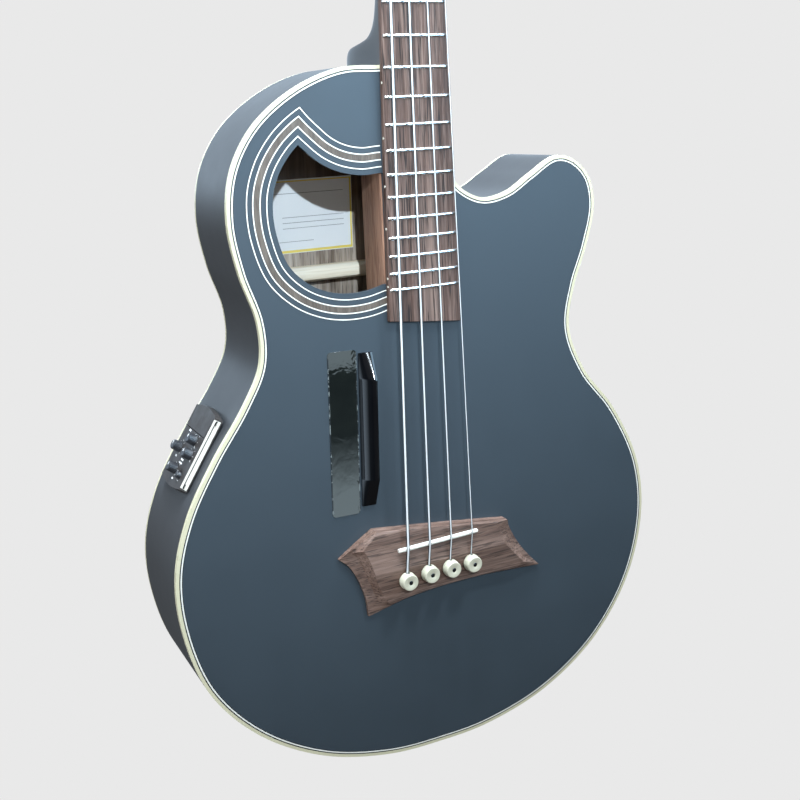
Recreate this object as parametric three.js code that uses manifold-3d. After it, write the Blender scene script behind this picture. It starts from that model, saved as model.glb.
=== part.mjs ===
import * as THREE from 'three';
import { mergeVertices } from 'three/addons/utils/BufferGeometryUtils.js';
import Module from 'manifold-3d';

// Acoustic bass guitar with a treble-side cutaway and a bass-side soundhole.
// Millimetres. +Z runs up the neck, the front faces -Y, the treble side is +X.
// Pieces are drawn in the body's own frame: z = 0 at the tail, y = 0 at the
// soundboard's front face and depth into the body along +Y.

// Driving sizes
const SCALE_LENGTH = 863.6;
const SADDLE_TO_TAIL = 197.5;
const BODY_LENGTH = 584.5;
const BODY_HALF_WIDTH = 225.5;
const TAIL_DEPTH = 106.9;
const SHOULDER_DEPTH = 75.2;

// Gaps and shared small sizes
const GLUE_GAP = 0.2;
const FIT_GAP = 0.3;
const TURN_GAP = 0.35;
const CUT_OVERRUN = 6;
const WELD_DISTANCE = 0.0005;

// Body shell
const TOP_THICKNESS = 3;
const BACK_THICKNESS = 3;
const RIM_THICKNESS = 2.4;
const BINDING_WIDTH = 2.6;
const BINDING_HEIGHT = 4.6;
const LINING_WIDTH = 6.5;
const LINING_HEIGHT = 14;
const BRACE_CLEARANCE = 1;
const BODY_SAMPLES = 2;
const HOLE_SAMPLES = 2;

// Blocks inside the body
const NECK_BLOCK_LENGTH = 44;
const NECK_BLOCK_BASS_EDGE = 32;
const NECK_BLOCK_TREBLE_GAP = 1.3;
const NECK_TONGUE_DEPTH = 34;
const NECK_TONGUE_SHARE = 0.6793;
const TAIL_BLOCK_HALF_WIDTH = 42;
const TAIL_BLOCK_LENGTH = 24;

// Braces
const BACK_BRACE_HEIGHT = 12;
const BACK_BRACE_WIDTH = 13;
const BACK_BRACE_UPPER_DROP = 162.5;
const BACK_BRACE_MIDDLE_SHARE = 0.4927;
const BACK_BRACE_LOWER_SHARE = 0.2361;
const FACE_BRACE_HEIGHT = 13;
const FACE_BRACE_WIDTH = 8;
const CROSS_PLATE_CLEARANCE = 12.1;
const CROSS_BLOCK_CLEARANCE = 3.8;
const CROSS_LOWER_SHARE = 0.513;
const CROSS_ANGLE = THREE.MathUtils.degToRad(44);
const UPPER_FACE_BRACE_DROP = 23.5;
const UPPER_FACE_BRACE_LENGTH = 72;
const BRIDGE_PLATE_HALF_WIDTH = 72;
const BRIDGE_PLATE_TOP = 6;
const BRIDGE_PLATE_BOTTOM = 52;
const BRIDGE_PLATE_THICKNESS = 3;

// Paper label on the back
const LABEL_RIGHT_X = 23.2;
const LABEL_WIDTH = 88.8;
const LABEL_HEIGHT = 60.5;
const LABEL_TOP_DROP = 84;
const LABEL_THICKNESS = 0.3;

// Soundhole and its inlaid ring
const HOLE_WIDTH_SHARE = 0.3947;
const HOLE_HEIGHT = 113;
const HOLE_RIGHT_X = 33;
const HOLE_LOW_DROP = 170;
const ROSETTE_INNER_OFFSET = 4;
const ROSETTE_WIDTH = 16.6;
const ROSETTE_DEPTH = 1.2;
const ROSETTE_END_CLEARANCE = 0.6;

// Fingerboard, frets and nut
const NUT_WIDTH = 39.5;
const LAST_FRET_WIDTH = 64.6;
const FRET_COUNT = 24;
const BOARD_THICKNESS = 4.9;
const BOARD_RADIUS = 400;
const BOARD_OVERHANG_BASS = 24.6;
const BOARD_OVERHANG_TREBLE = 31.6;
const BOARD_STRIPS = 3;
const FRET_HEIGHT = 1.1;
const FRET_FOOT_WIDTH = 2.6;
const FRET_CROWN_WIDTH = 1.1;
const FRET_TANG = 0.8;
const FRET_END_INSET = 1.3;
const NUT_LENGTH = 5.2;
const NUT_RISE = 3.2;
const NUT_SLOT_LIFT = 0.7;

// Neck and heel
const NECK_DEPTH_AT_NUT = 16;
const NECK_DEPTH_AT_HEEL = 18.4;
const HEEL_LENGTH = 62;
const HEEL_DEPTH = 74.2;
const NECK_SECTION_STEPS = 10;
const SHAFT_SQUARENESS = 2.1;
const HEEL_SQUARENESS = 6.4;
const HEEL_WIDTH_STEP = 0.4;

// Headstock
const HEAD_ANGLE = THREE.MathUtils.degToRad(9);
const HEAD_LENGTH = 208;
const HEAD_HALF_WIDTH = 42;
const HEAD_THICKNESS = 15;
const HEAD_THROAT = 16;
const HEAD_SAMPLES = 2;

// Truss rod
const ROD_WIDTH = 6.2;
const ROD_DEPTH = 9.4;
const ROD_HEEL_CLEARANCE = 42;
const ROD_NUT_RADIUS = 2.9;
const ROD_NUT_SIDES = 6;
const ROD_NUT_LENGTH = 11;
const ROD_NUT_REACH = 9;
const ROD_POCKET_WIDTH = 12;
const ROD_POCKET_LENGTH = 28;
const COVER_LENGTH = 46;
const COVER_HALF_WIDTH = 13;
const COVER_THICKNESS = 2;
const COVER_START = 3;

// Bridge, saddle and pins
const BRIDGE_SPAN = 195;
const BRIDGE_DROP = 76.5;
const BRIDGE_HEIGHT = 10.8;
const BRIDGE_SLOPE_START = 18;
const BRIDGE_SLOPE_END = 45;
const BRIDGE_REAR_HEIGHT = 6.6;
const SADDLE_LENGTH = 76;
const SADDLE_THICKNESS = 3;
const SADDLE_CENTRE_X = -0.5;
const SADDLE_SHIFT = 0.45;
const SADDLE_SLANT = 2.1;
const SADDLE_RISE = 14;
const SADDLE_SEAT = 4.5;
const SADDLE_CROWN = 0.9;
const SADDLE_SHOULDER = 0.25;
const STRING_SPACING = 20.7;
const NUT_SPACING = 10.2;
const PIN_HEAD_RADIUS = 7.6;
const PIN_HEAD_HEIGHT = 7.8;
const PIN_SHAFT_RADIUS = 2.9;
const PIN_TIP_RADIUS = 2.3;
const PIN_REACH = 13;
const PIN_BASS_DROP = 28.8;
const PIN_DROP = 26.8;
const PIN_SIDES = 16;

// Strings, lowest to highest
const STRING_NAMES = ['e', 'a', 'd', 'g'];
const STRING_E_DIAMETER = 2.67;
const STRING_A_DIAMETER = 2.16;
const STRING_D_DIAMETER = 1.65;
const STRING_G_DIAMETER = 1.14;
const STRING_DIAMETERS = [STRING_E_DIAMETER, STRING_A_DIAMETER, STRING_D_DIAMETER, STRING_G_DIAMETER];
const STRING_SIDES = 6;
const STRING_LIFT = 0.3;
const BALL_RADIUS = 2.5;
const BALL_LENGTH = 5;
const BALL_STEP = 1;
const WRAP_TURNS = 2;
const WRAP_STEPS = 12;
const WRAP_GAP = 0.55;
const WRAP_SPACING = 0.5;
const WRAP_HEIGHT = 5.4;

// Tuners
const TUNER_X = 24;
const TUNER_LOWER_Z = 66;
const TUNER_UPPER_Z = 146;
const POST_RADIUS = 5;
const POST_CAP_RADIUS = 7;
const POST_CAP_HEIGHT = 4.5;
const POST_CAP_CHAMFER = 1.2;
const POST_RISE = 21;
const POST_SLOT_WIDTH = 3.2;
const POST_SIDES = 16;
const GEAR_RADIUS = 9.5;
const GEAR_THICKNESS = 5;
const PLATE_THICKNESS = 2.4;
const PLATE_HALF_WIDTH = 12.5;
const PLATE_LOW_REACH = 18;
const PLATE_HIGH_REACH = 22;
const EAR_THICKNESS = 2.6;
const EAR_OFFSET = 8.6;
const EAR_HALF_LENGTH = 5.6;
const EAR_TIP = 3.2;
const WORM_RADIUS = 4.3;
const KEY_SHAFT_RADIUS = 2.8;
const KEY_SIDES = 12;
const KEY_SHAFT_END = 50;
const KEY_LEAF_LENGTH = 20;
const KEY_LEAF_HALF_WIDTH = 12;
const KEY_LEAF_THICKNESS = 3.6;

// Thumb rest and the film beside it
const REST_LENGTH = 128;
const REST_BASE_WIDTH = 12;
const REST_BASS_DRAFT = 4.4;
const REST_TREBLE_DRAFT = 0.8;
const REST_HEIGHT = 12;
const REST_END_HEIGHT = 2.2;
const REST_UPPER_RAMP = 21;
const REST_LOWER_RAMP = 23.5;
const REST_CENTRE_X = -55.9;
const REST_CENTRE_Z = 302.5;
const REST_TILT = THREE.MathUtils.degToRad(1.65);
const FILM_LENGTH = 137;
const FILM_DROP = 1.5;
const FILM_WIDTH = 25;
const FILM_THICKNESS = 0.35;
const FILM_CORNER = 4;
const FILM_SPACING = 1.6;

// Preamp in the bass-side rim
const PREAMP_SHARE = 0.5098;
const PREAMP_DEPTH = 46;
const PANEL_HALF_DEPTH = 29;
const PANEL_HALF_LENGTH = 30.5;
const PANEL_END_BULGE = 4.6;
const PANEL_SEAT = 0.9;
const PANEL_EDGE = 1;
const PANEL_HEIGHT = 6.5;
const PANEL_SIDE_BEVEL = 4.2;
const PANEL_END_BEVEL = 0.8;
const PANEL_END_STEPS = 8;
const DRAWER_HALF_DEPTH = 22.8;
const DRAWER_SEAM = 12.4;
const DRAWER_FLOOR = 0.8;
const HOUSING_HALF_DEPTH = 26.5;
const HOUSING_LOW = 27.2;
const HOUSING_REACH = 34;
const HOUSING_WALL = 1.2;
const BAY_WALL = 1;
const BATTERY_LENGTH = 48.5;
const BATTERY_WIDTH = 26.5;
const BATTERY_THICKNESS = 17;
const KNOB_RADIUS = 4.4;
const KNOB_TOP_RADIUS = 3.9;
const KNOB_HEIGHT = 7;
const KNOB_CHAMFER = 0.7;
const KNOB_SHAFT_RADIUS = 1.6;
const KNOB_SHAFT_REACH = 9;
const KNOB_SIDES = 14;
const BUTTON_RADIUS = 2.8;
const BUTTON_HEIGHT = 3.4;
const BUTTON_CHAMFER = 0.6;
const knobPlaceShares = [
  [-0.31, 0.223],
  [0.486, -0.164],
  [-0.49, -0.141],
  [0.062, -0.675],
];
const buttonPlaceShares = [-0.452, -0.734];

// Strap buttons and the output jack
const END_PIN_DEPTH = 40;
const BUTTON_PIN_LENGTH = 14;
const BUTTON_PIN_FLANGE = 7.2;
const BUTTON_PIN_WAIST = 4.6;
const BUTTON_PIN_HEAD = 9;
const BUTTON_PIN_RIM = 2.6;
const BUTTON_PIN_FOOT = 2;
const BUTTON_PIN_WAIST_LOW = 4;
const BUTTON_PIN_WAIST_HIGH = 8.8;
const BUTTON_PIN_CHAMFER = 0.9;
const BUTTON_PIN_SHANK = 2.6;
const BUTTON_PIN_SHANK_LENGTH = 22;
const HEEL_BUTTON_HEIGHT = 9.5;
const HEEL_BUTTON_DEPTH = 34;
const JACK_DEPTH = 74;
const JACK_FLANGE_RADIUS = 9.5;
const JACK_FLANGE_THICKNESS = 2.4;
const JACK_FLANGE_CHAMFER = 1;
const JACK_BARREL_RADIUS = 6.2;
const JACK_BARREL_LENGTH = 36;
const JACK_BORE_RADIUS = 3.4;
const JACK_BORE_DEPTH = 31;
const ROUND_SIDES = 16;

// Outline knots from the bass shoulder round the tail to the cutaway:
// shares of the half width and of the body length.
const bodyOutlineShares = [
  [-0.129, 1], [-0.275, 0.998], [-0.4415, 0.9745], [-0.59, 0.9316], [-0.676, 0.8777],
  [-0.7015, 0.816], [-0.676, 0.7494], [-0.626, 0.6843], [-0.6295, 0.6292], [-0.7006, 0.5762],
  [-0.8195, 0.512], [-0.927, 0.4404], [-0.986, 0.3656], [-0.983, 0.2837], [-0.9095, 0.1855],
  [-0.7393, 0.1006], [-0.4918, 0.037], [-0.2213, 0.0058], [0, 0], [0.222, 0.0038],
  [0.501, 0.033], [0.7525, 0.0956], [0.927, 0.187], [1, 0.294], [0.9734, 0.3867],
  [0.8515, 0.4806], [0.7056, 0.5512], [0.6355, 0.619], [0.6608, 0.6802], [0.7175, 0.7376],
  [0.7534, 0.797], [0.7273, 0.8392], [0.654, 0.865], [0.5765, 0.87], [0.4657, 0.848],
  [0.365, 0.826], [0.266, 0.82], [0.191, 0.831], [0.146, 0.847], [0.132, 0.87],
];
// Where the treble side of the outline meets the neck.
const neckCornerShares = [0.125, 1];

// Soundhole edge, shares of its width to the left and of its height up.
const holeLowerShares = [
  [0, 0.035], [0.19, 0.003], [0.4, 0.003], [0.584, 0.04], [0.753, 0.115],
  [0.9, 0.24], [0.983, 0.434], [1.003, 0.58], [0.987, 0.714], [0.932, 0.83], [0.874, 0.904],
  [0.796, 0.977], [0.7404, 1.016],
];
const holeUpperShares = [
  [0.7404, 1.016], [0.62, 0.93], [0.54, 0.885], [0.44, 0.844], [0.32, 0.812], [0.16, 0.793], [0, 0.8],
];

// Heel and lower shaft: place along the heel, depth, and squareness between
// shaft and heel.
const heelProfileShares = [
  [0, 1, 1], [0.13, 0.994, 1], [0.2, 0.964, 0.95], [0.24, 0.91, 0.9], [0.27, 0.77, 0.85],
  [0.3, 0.59, 0.75], [0.34, 0.45, 0.55], [0.41, 0.37, 0.35], [0.52, 0.31, 0.2], [0.72, 0.27, 0.08],
];

// Headstock half outline, shares of its half width and length.
const headOutlineShares = [
  [0.475, 0], [0.49, 0.04], [0.6, 0.12], [0.84, 0.185], [0.91, 0.26], [0.87, 0.42],
  [0.88, 0.6], [0.95, 0.78], [1, 0.9], [0.9, 0.965], [0.55, 0.985], [0, 1],
];

// Leaf of a tuner key, from the shaft outward: shares of its length and half width.
const keyLeafShares = [
  [0.05, 0.3], [0.2, 0.62], [0.42, 0.62], [0.5, 0.78], [0.66, 1], [0.9, 0.86], [0.95, 0.5], [1, 0.2],
];

// Truss rod cover, shares of its half width and length.
const coverOutlineShares = [
  [-1, 0], [1, 0], [0.9, 0.45], [0.45, 0.8], [0, 1], [-0.45, 0.8], [-0.9, 0.45],
];

// Bridge pin head, shares of its radius and height.
const pinHeadShares = [[0.8, 0], [1, 0.35], [0.94, 0.8], [0.7, 1]];

// Bridge rings, one row per point: outer edge x, z, height, then the foot of
// the scoop, then the deck edge. Shares of the span, the drop and the height.
const bridgeRingShares = [
  [-0.292, 0.261, 0.93, -0.29, 0.257, 0.97, -0.283, 0.244, 1],
  [0.051, 0.153, 0.93, 0.051, 0.148, 0.97, 0.051, 0.137, 1],
  [0.359, 0.046, 0.85, 0.332, 0.044, 0.93, 0.29, 0.05, 1],
  [0.374, -0.052, 0.62, 0.349, -0.065, 0.82, 0.31, -0.1, 1],
  [0.405, -0.203, 0.5, 0.385, -0.222, 0.65, 0.338, -0.222, 1],
  [0.444, -0.353, 0.42, 0.421, -0.373, 0.52, 0.362, -0.32, 1],
  [0.49, -0.497, 0.35, 0.462, -0.497, 0.42, 0.4, -0.444, 0.92],
  [0.546, -0.647, 0.26, 0.518, -0.608, 0.32, 0.441, -0.529, 0.7],
  [0.4, -0.612, 0.38, 0.4, -0.595, 0.5, 0.38, -0.56, 0.8],
  [0.231, -0.586, 0.42, 0.231, -0.573, 0.55, 0.231, -0.555, 0.8],
  [0.026, -0.591, 0.42, 0.026, -0.578, 0.55, 0.026, -0.56, 0.8],
  [-0.154, -0.635, 0.38, -0.154, -0.617, 0.5, -0.154, -0.595, 0.8],
  [-0.246, -0.688, 0.32, -0.236, -0.661, 0.42, -0.222, -0.61, 0.75],
  [-0.331, -0.742, 0.24, -0.287, -0.588, 0.36, -0.256, -0.5, 0.75],
  [-0.338, -0.549, 0.26, -0.31, -0.431, 0.38, -0.282, -0.392, 0.9],
  [-0.359, -0.366, 0.26, -0.331, -0.288, 0.39, -0.3, -0.288, 1],
  [-0.385, -0.209, 0.26, -0.354, -0.131, 0.39, -0.321, -0.118, 1],
  [-0.415, -0.092, 0.26, -0.379, 0, 0.39, -0.341, 0.013, 1],
  [-0.454, 0, 0.24, -0.405, 0.052, 0.38, -0.356, 0.078, 1],
  [-0.372, 0.139, 0.62, -0.364, 0.125, 0.76, -0.346, 0.111, 1],
];

const wasm = await Module();
wasm.setup();

// Welds a geometry's vertices, drops its flat triangles and turns its faces outward.
function cleaned(source) {
  const bare = new THREE.BufferGeometry();
  bare.setAttribute('position', source.getAttribute('position').clone());
  if (source.index) bare.setIndex(source.index.clone());
  const welded = mergeVertices(bare, WELD_DISTANCE);
  const position = welded.getAttribute('position');
  const corners = welded.index.array;
  const kept = [];
  const a = new THREE.Vector3();
  const b = new THREE.Vector3();
  const c = new THREE.Vector3();
  let volume = 0;
  for (let i = 0; i < corners.length; i += 3) {
    const [p, q, r] = [corners[i], corners[i + 1], corners[i + 2]];
    if (p === q || q === r || r === p) continue;
    kept.push(p, q, r);
    a.fromBufferAttribute(position, p);
    b.fromBufferAttribute(position, q);
    c.fromBufferAttribute(position, r);
    volume += a.dot(b.cross(c));
  }
  if (volume < 0) kept.reverse();
  welded.setIndex(kept);
  return welded;
}

// Makes a closed geometry from points and triangles.
function closedMesh(points, triangles) {
  const geometry = new THREE.BufferGeometry();
  geometry.setAttribute('position', new THREE.Float32BufferAttribute(points.flat(), 3));
  geometry.setIndex(triangles.flat());
  return cleaned(geometry);
}

function toSolid(geometry) {
  const clean = cleaned(geometry);
  return new wasm.Manifold(new wasm.Mesh({
    numProp: 3,
    vertProperties: new Float32Array(clean.getAttribute('position').array),
    triVerts: new Uint32Array(clean.index.array),
  }));
}

function toGeometry(solid) {
  const mesh = solid.getMesh();
  const geometry = new THREE.BufferGeometry();
  const points = [];
  for (let i = 0; i < mesh.numVert; i += 1) {
    const start = i * mesh.numProp;
    points.push(...mesh.vertProperties.slice(start, start + 3));
  }
  geometry.setAttribute('position', new THREE.Float32BufferAttribute(points, 3));
  geometry.setIndex(Array.from(mesh.triVerts));
  return geometry;
}

// Joins closed geometries, then takes others away.
function carve(bodies, cuts = []) {
  let result = toSolid(bodies[0]);
  for (const body of bodies.slice(1)) result = result.add(toSolid(body));
  for (const cut of cuts) result = result.subtract(toSolid(cut));
  return toGeometry(result);
}

function common(first, second) {
  return toGeometry(toSolid(first).intersect(toSolid(second)));
}

// A box given by its low and high corners.
function block(low, high) {
  const geometry = new THREE.BoxGeometry(high[0] - low[0], high[1] - low[1], high[2] - low[2]);
  return geometry.translate((low[0] + high[0]) / 2, (low[1] + high[1]) / 2, (low[2] + high[2]) / 2);
}

// A solid of revolution about +Y from [radius, y] pairs that start and end on the axis.
function turned(profile, sides = ROUND_SIDES) {
  return new THREE.LatheGeometry(profile.map(([r, y]) => new THREE.Vector2(r, y)), sides);
}

function rod(radius, low, high, sides = ROUND_SIDES) {
  return turned([[0, low], [radius, low], [radius, high], [0, high]], sides);
}

// A prism whose outline lies in X and Z and whose ends follow two depth planes.
function prism(outline, front, back, holes = []) {
  const flat = [outline, ...holes].flat();
  const points = [
    ...flat.map(([x, z]) => [x, front(z), z]),
    ...flat.map(([x, z]) => [x, back(z), z]),
  ];
  const triangles = [];
  const edges = new Map();
  for (const [p, q, r] of capTriangles(outline, holes)) {
    triangles.push([p, q, r], [r + flat.length, q + flat.length, p + flat.length]);
    for (const edge of [[p, q], [q, r], [r, p]]) edges.set(edge.join(), edge);
  }
  for (const [p, q] of edges.values()) {
    if (edges.has([q, p].join())) continue;
    triangles.push([q, p, p + flat.length], [q, p + flat.length, q + flat.length]);
  }
  return closedMesh(points, triangles);
}

function capTriangles(outline, holes = []) {
  const flatten = (ring) => ring.map(([x, z]) => new THREE.Vector2(x, z));
  return THREE.ShapeUtils.triangulateShape(flatten(outline), holes.map(flatten));
}

// The same triangles, turned to run along their ring.
function alongRing(triangles, count) {
  const runs = ([p, q, r]) => [[p, q], [q, r], [r, p]].some(([a, b]) => (a + 1) % count === b);
  return triangles.some(runs) ? triangles : triangles.map(([p, q, r]) => [r, q, p]);
}

// A skin through rings of equal count, closed at both ends by a fan or by given triangles.
function loft(rings, firstCap, lastCap) {
  const count = rings[0].length;
  const triangles = [];
  for (let ring = 0; ring + 1 < rings.length; ring += 1) {
    for (let i = 0; i < count; i += 1) {
      const here = ring * count + i;
      const next = ring * count + ((i + 1) % count);
      triangles.push([here, next, next + count], [here, next + count, here + count]);
    }
  }
  const last = (rings.length - 1) * count;
  const fan = Array.from({ length: count - 2 }, (_, i) => [0, i + 1, i + 2]);
  for (const [p, q, r] of alongRing(firstCap ?? fan, count)) triangles.push([r, q, p]);
  for (const [p, q, r] of alongRing(lastCap ?? fan, count)) {
    triangles.push([p + last, q + last, r + last]);
  }
  return closedMesh(rings.flat(), triangles);
}

// A round tube through points, each with its own radius.
function tube(path, radii, sides) {
  const places = path.map((p) => new THREE.Vector3(...p));
  const side = new THREE.Vector3(1, 0, 0);
  const rings = places.map((place, i) => {
    const before = places[Math.max(i - 1, 0)];
    const after = places[Math.min(i + 1, places.length - 1)];
    const forward = after.clone().sub(before).normalize();
    side.addScaledVector(forward, -side.dot(forward)).normalize();
    const across = forward.clone().cross(side);
    return Array.from({ length: sides }, (_, k) => {
      const turn = (2 * Math.PI * k) / sides;
      const point = place.clone();
      point.addScaledVector(side, radii[i] * Math.cos(turn));
      point.addScaledVector(across, radii[i] * Math.sin(turn));
      return point.toArray();
    });
  });
  return loft(rings);
}

function smooth(knots, samples) {
  const curve = new THREE.CatmullRomCurve3(knots.map(([x, z]) => new THREE.Vector3(x, 0, z)));
  return curve.getPoints((knots.length - 1) * samples).map((p) => [p.x, p.z]);
}

// Moves every point of a closed outline inward, or outward for a negative distance.
function inset(outline, distance) {
  const turn = Math.sign(THREE.ShapeUtils.area(outline.map(([x, z]) => new THREE.Vector2(x, z))));
  return outline.map(([x, z], i) => {
    const [xb, zb] = outline[(i + outline.length - 1) % outline.length];
    const [xa, za] = outline[(i + 1) % outline.length];
    const before = new THREE.Vector2(x - xb, z - zb).normalize();
    const after = new THREE.Vector2(xa - x, za - z).normalize();
    const middle = before.clone().add(after).normalize();
    const reach = (distance * turn) / before.dot(middle);
    return [x - middle.y * reach, z + middle.x * reach];
  });
}

// Body outline, closed, starting and ending at the neck joint's middle.
const curvedOutline = smooth(
  bodyOutlineShares.map(([x, z]) => [x * BODY_HALF_WIDTH, z * BODY_LENGTH]),
  BODY_SAMPLES,
);
const neckCorner = [neckCornerShares[0] * BODY_HALF_WIDTH, neckCornerShares[1] * BODY_LENGTH];
const outline = [[0, BODY_LENGTH], ...curvedOutline, neckCorner];
const tailIndex = outline.findIndex(([x, z], i) => i > 1 && x >= 0 && z < BODY_LENGTH / 2);

const topFace = () => 0;
const backFace = (z) => TAIL_DEPTH + ((SHOULDER_DEPTH - TAIL_DEPTH) * z) / BODY_LENGTH;
const topInside = () => TOP_THICKNESS + GLUE_GAP;
const backInside = (z) => backFace(z) - BACK_THICKNESS - GLUE_GAP;
const shifted = (plane, distance) => (z) => plane(z) + distance;

// Half width of the fingerboard at a height above the saddle line.
const lastFretZ = SCALE_LENGTH * 2 ** (-FRET_COUNT / 12);
function boardHalfWidth(aboveSaddle) {
  const share = (SCALE_LENGTH - aboveSaddle) / (SCALE_LENGTH - lastFretZ);
  return (NUT_WIDTH + (LAST_FRET_WIDTH - NUT_WIDTH) * share) / 2;
}
const boardTop = -(GLUE_GAP + BOARD_THICKNESS);
const boardCrown = (x) => boardTop + (x * x) / (2 * BOARD_RADIUS);
const nutFrontZ = SADDLE_TO_TAIL + SCALE_LENGTH;
const nutBackZ = nutFrontZ + GLUE_GAP + NUT_LENGTH;

// Turned frames: the headstock and the wall that holds the preamp.
const headFrame = new THREE.Group();
headFrame.position.set(0, 0, nutBackZ);
headFrame.rotation.x = -HEAD_ANGLE;
headFrame.updateMatrix();

// X of the bass-side wall at a height.
function wallX(height) {
  const side = outline.slice(1, tailIndex);
  const i = side.findIndex(([, z]) => z < height);
  const [x1, z1] = side[i - 1];
  const [x2, z2] = side[i];
  return x1 + ((x2 - x1) * (z1 - height)) / (z1 - z2);
}
const preampZ = PREAMP_SHARE * BODY_LENGTH;
const wallRise = wallX(preampZ + PANEL_HALF_LENGTH) - wallX(preampZ - PANEL_HALF_LENGTH);
const preampFrame = new THREE.Group();
preampFrame.position.set(wallX(preampZ), PREAMP_DEPTH, preampZ);
preampFrame.rotation.y = Math.atan2(wallRise, PANEL_HALF_LENGTH * 2);
preampFrame.updateMatrix();

const MATERIALS = {
  satinBlack: { color: 0x38424c, roughness: 0.55, metalness: 0 },
  paintedSide: { color: 0x3a3d44, roughness: 0.5, metalness: 0 },
  binding: { color: 0xeee6c8, roughness: 0.4, metalness: 0 },
  spruce: { color: 0xd9c08c, roughness: 0.7, metalness: 0 },
  backWood: { color: 0x7a5c46, roughness: 0.7, metalness: 0 },
  mahogany: { color: 0x6b3d26, roughness: 0.65, metalness: 0 },
  paper: { color: 0xdfe4ea, roughness: 0.9, metalness: 0 },
  tanWood: { color: 0xa8937c, roughness: 0.6, metalness: 0 },
  darkWood: { color: 0x4a3830, roughness: 0.6, metalness: 0 },
  bone: { color: 0xf0ead8, roughness: 0.35, metalness: 0 },
  steel: { color: 0xc9ccd0, roughness: 0.25, metalness: 1 },
  chrome: { color: 0xb8bcc2, roughness: 0.15, metalness: 1 },
  glossBlack: { color: 0x0c0d0f, roughness: 0.08, metalness: 0 },
  panelGrey: { color: 0x4a4b4f, roughness: 0.5, metalness: 0 },
  rubberBlack: { color: 0x1c1d20, roughness: 0.6, metalness: 0 },
};

const instrument = new THREE.Group();
instrument.position.set(0, -END_PIN_DEPTH, BUTTON_PIN_LENGTH);
instrument.add(headFrame, preampFrame);

function add(name, geometry, material, parent = instrument) {
  const mesh = new THREE.Mesh(geometry, new THREE.MeshStandardMaterial(MATERIALS[material]));
  mesh.name = name;
  parent.add(mesh);
  return mesh;
}

// Soundhole
function holeOutline() {
  const width = HOLE_WIDTH_SHARE * BODY_HALF_WIDTH;
  const low = BODY_LENGTH - HOLE_LOW_DROP;
  const place = ([x, z]) => [-HOLE_RIGHT_X - x * width, low + z * HOLE_HEIGHT];
  const lower = smooth(holeLowerShares.map(place), HOLE_SAMPLES);
  const upper = smooth(holeUpperShares.map(place), HOLE_SAMPLES);
  return [...lower, ...upper.slice(1)];
}
const hole = holeOutline();

// The ring between two offsets of the hole's edge, open at the fingerboard.
function holeBand(near, far) {
  const outer = inset(hole, -far);
  const inner = inset(hole, -near);
  const wide = prism(outer, topFace, shifted(topFace, ROSETTE_DEPTH));
  const core = prism(inner, shifted(topFace, -CUT_OVERRUN), shifted(topFace, CUT_OVERRUN));
  const edge = -HOLE_RIGHT_X - ROSETTE_END_CLEARANCE;
  const beyond = block([edge, -CUT_OVERRUN, 0], [BODY_HALF_WIDTH, CUT_OVERRUN, BODY_LENGTH]);
  return carve([wide], [core, beyond]);
}

// Strings: where each one stands at the pin, the saddle and the nut
const strings = STRING_NAMES.map((name, i) => {
  const lane = i - (STRING_NAMES.length - 1) / 2;
  const radius = STRING_DIAMETERS[i] / 2;
  const x = lane * STRING_SPACING;
  const pinZ = SADDLE_TO_TAIL - (i === 0 ? PIN_BASS_DROP : PIN_DROP);
  return {
    name,
    radius,
    x,
    nutX: lane * NUT_SPACING,
    pinZ,
    riseZ: pinZ + PIN_SHAFT_RADIUS + FIT_GAP + radius,
    saddleZ: SADDLE_TO_TAIL + SADDLE_SHIFT + (SADDLE_SLANT * (x - SADDLE_CENTRE_X)) / SADDLE_LENGTH,
  };
});

// Height of the bridge's deck above the soundboard at a drop below the saddle line.
function deckHeight(drop) {
  const share = (drop - BRIDGE_SLOPE_START) / (BRIDGE_SLOPE_END - BRIDGE_SLOPE_START);
  return BRIDGE_HEIGHT - (BRIDGE_HEIGHT - BRIDGE_REAR_HEIGHT) * Math.max(share, 0);
}

// The keyhole for one pin and its string, through bridge, top and bridge plate.
function pinHole({ x, pinZ, riseZ, radius }) {
  const low = -(BRIDGE_HEIGHT + CUT_OVERRUN);
  const high = TOP_THICKNESS + BRIDGE_PLATE_THICKNESS + CUT_OVERRUN;
  const round = rod(PIN_SHAFT_RADIUS + FIT_GAP, low, high, PIN_SIDES).translate(x, 0, pinZ);
  const half = radius + FIT_GAP;
  return [round, block([x - half, low, pinZ], [x + half, high, riseZ + half])];
}
const pinHoles = strings.flatMap(pinHole);

function addBody() {
  const nearEdge = BINDING_WIDTH + GLUE_GAP;
  const plate = inset(outline, nearEdge);
  const recess = holeBand(ROSETTE_INNER_OFFSET - GLUE_GAP, ROSETTE_INNER_OFFSET + ROSETTE_WIDTH + GLUE_GAP);
  const sunk = recess.clone().translate(0, GLUE_GAP, 0);
  const raised = recess.clone().translate(0, -GLUE_GAP, 0);
  const top = prism(plate, topFace, shifted(topFace, TOP_THICKNESS), [hole]);
  add('soundboard', carve([top], [sunk, raised, ...pinHoles]), 'satinBlack');
  add('rosette', holeBand(ROSETTE_INNER_OFFSET, ROSETTE_INNER_OFFSET + ROSETTE_WIDTH), 'tanWood');
  add('back_plate', prism(plate, shifted(backFace, -BACK_THICKNESS), backFace), 'backWood');

  const bound = inset(outline, BINDING_WIDTH);
  add('top_binding', prism(outline, topFace, shifted(topFace, BINDING_HEIGHT), [bound]), 'binding');
  add('back_binding', prism(outline, shifted(backFace, -BINDING_HEIGHT), backFace, [bound]), 'binding');
  addRims();
  addLinings();
}

// One strip of rim between two outline places.
function strip(from, to, near, far, front, back) {
  const outer = inset(outline, near).slice(from, to);
  const inner = inset(outline, far).slice(from, to);
  return prism([...outer, ...inner.reverse()], front, back);
}

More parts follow.
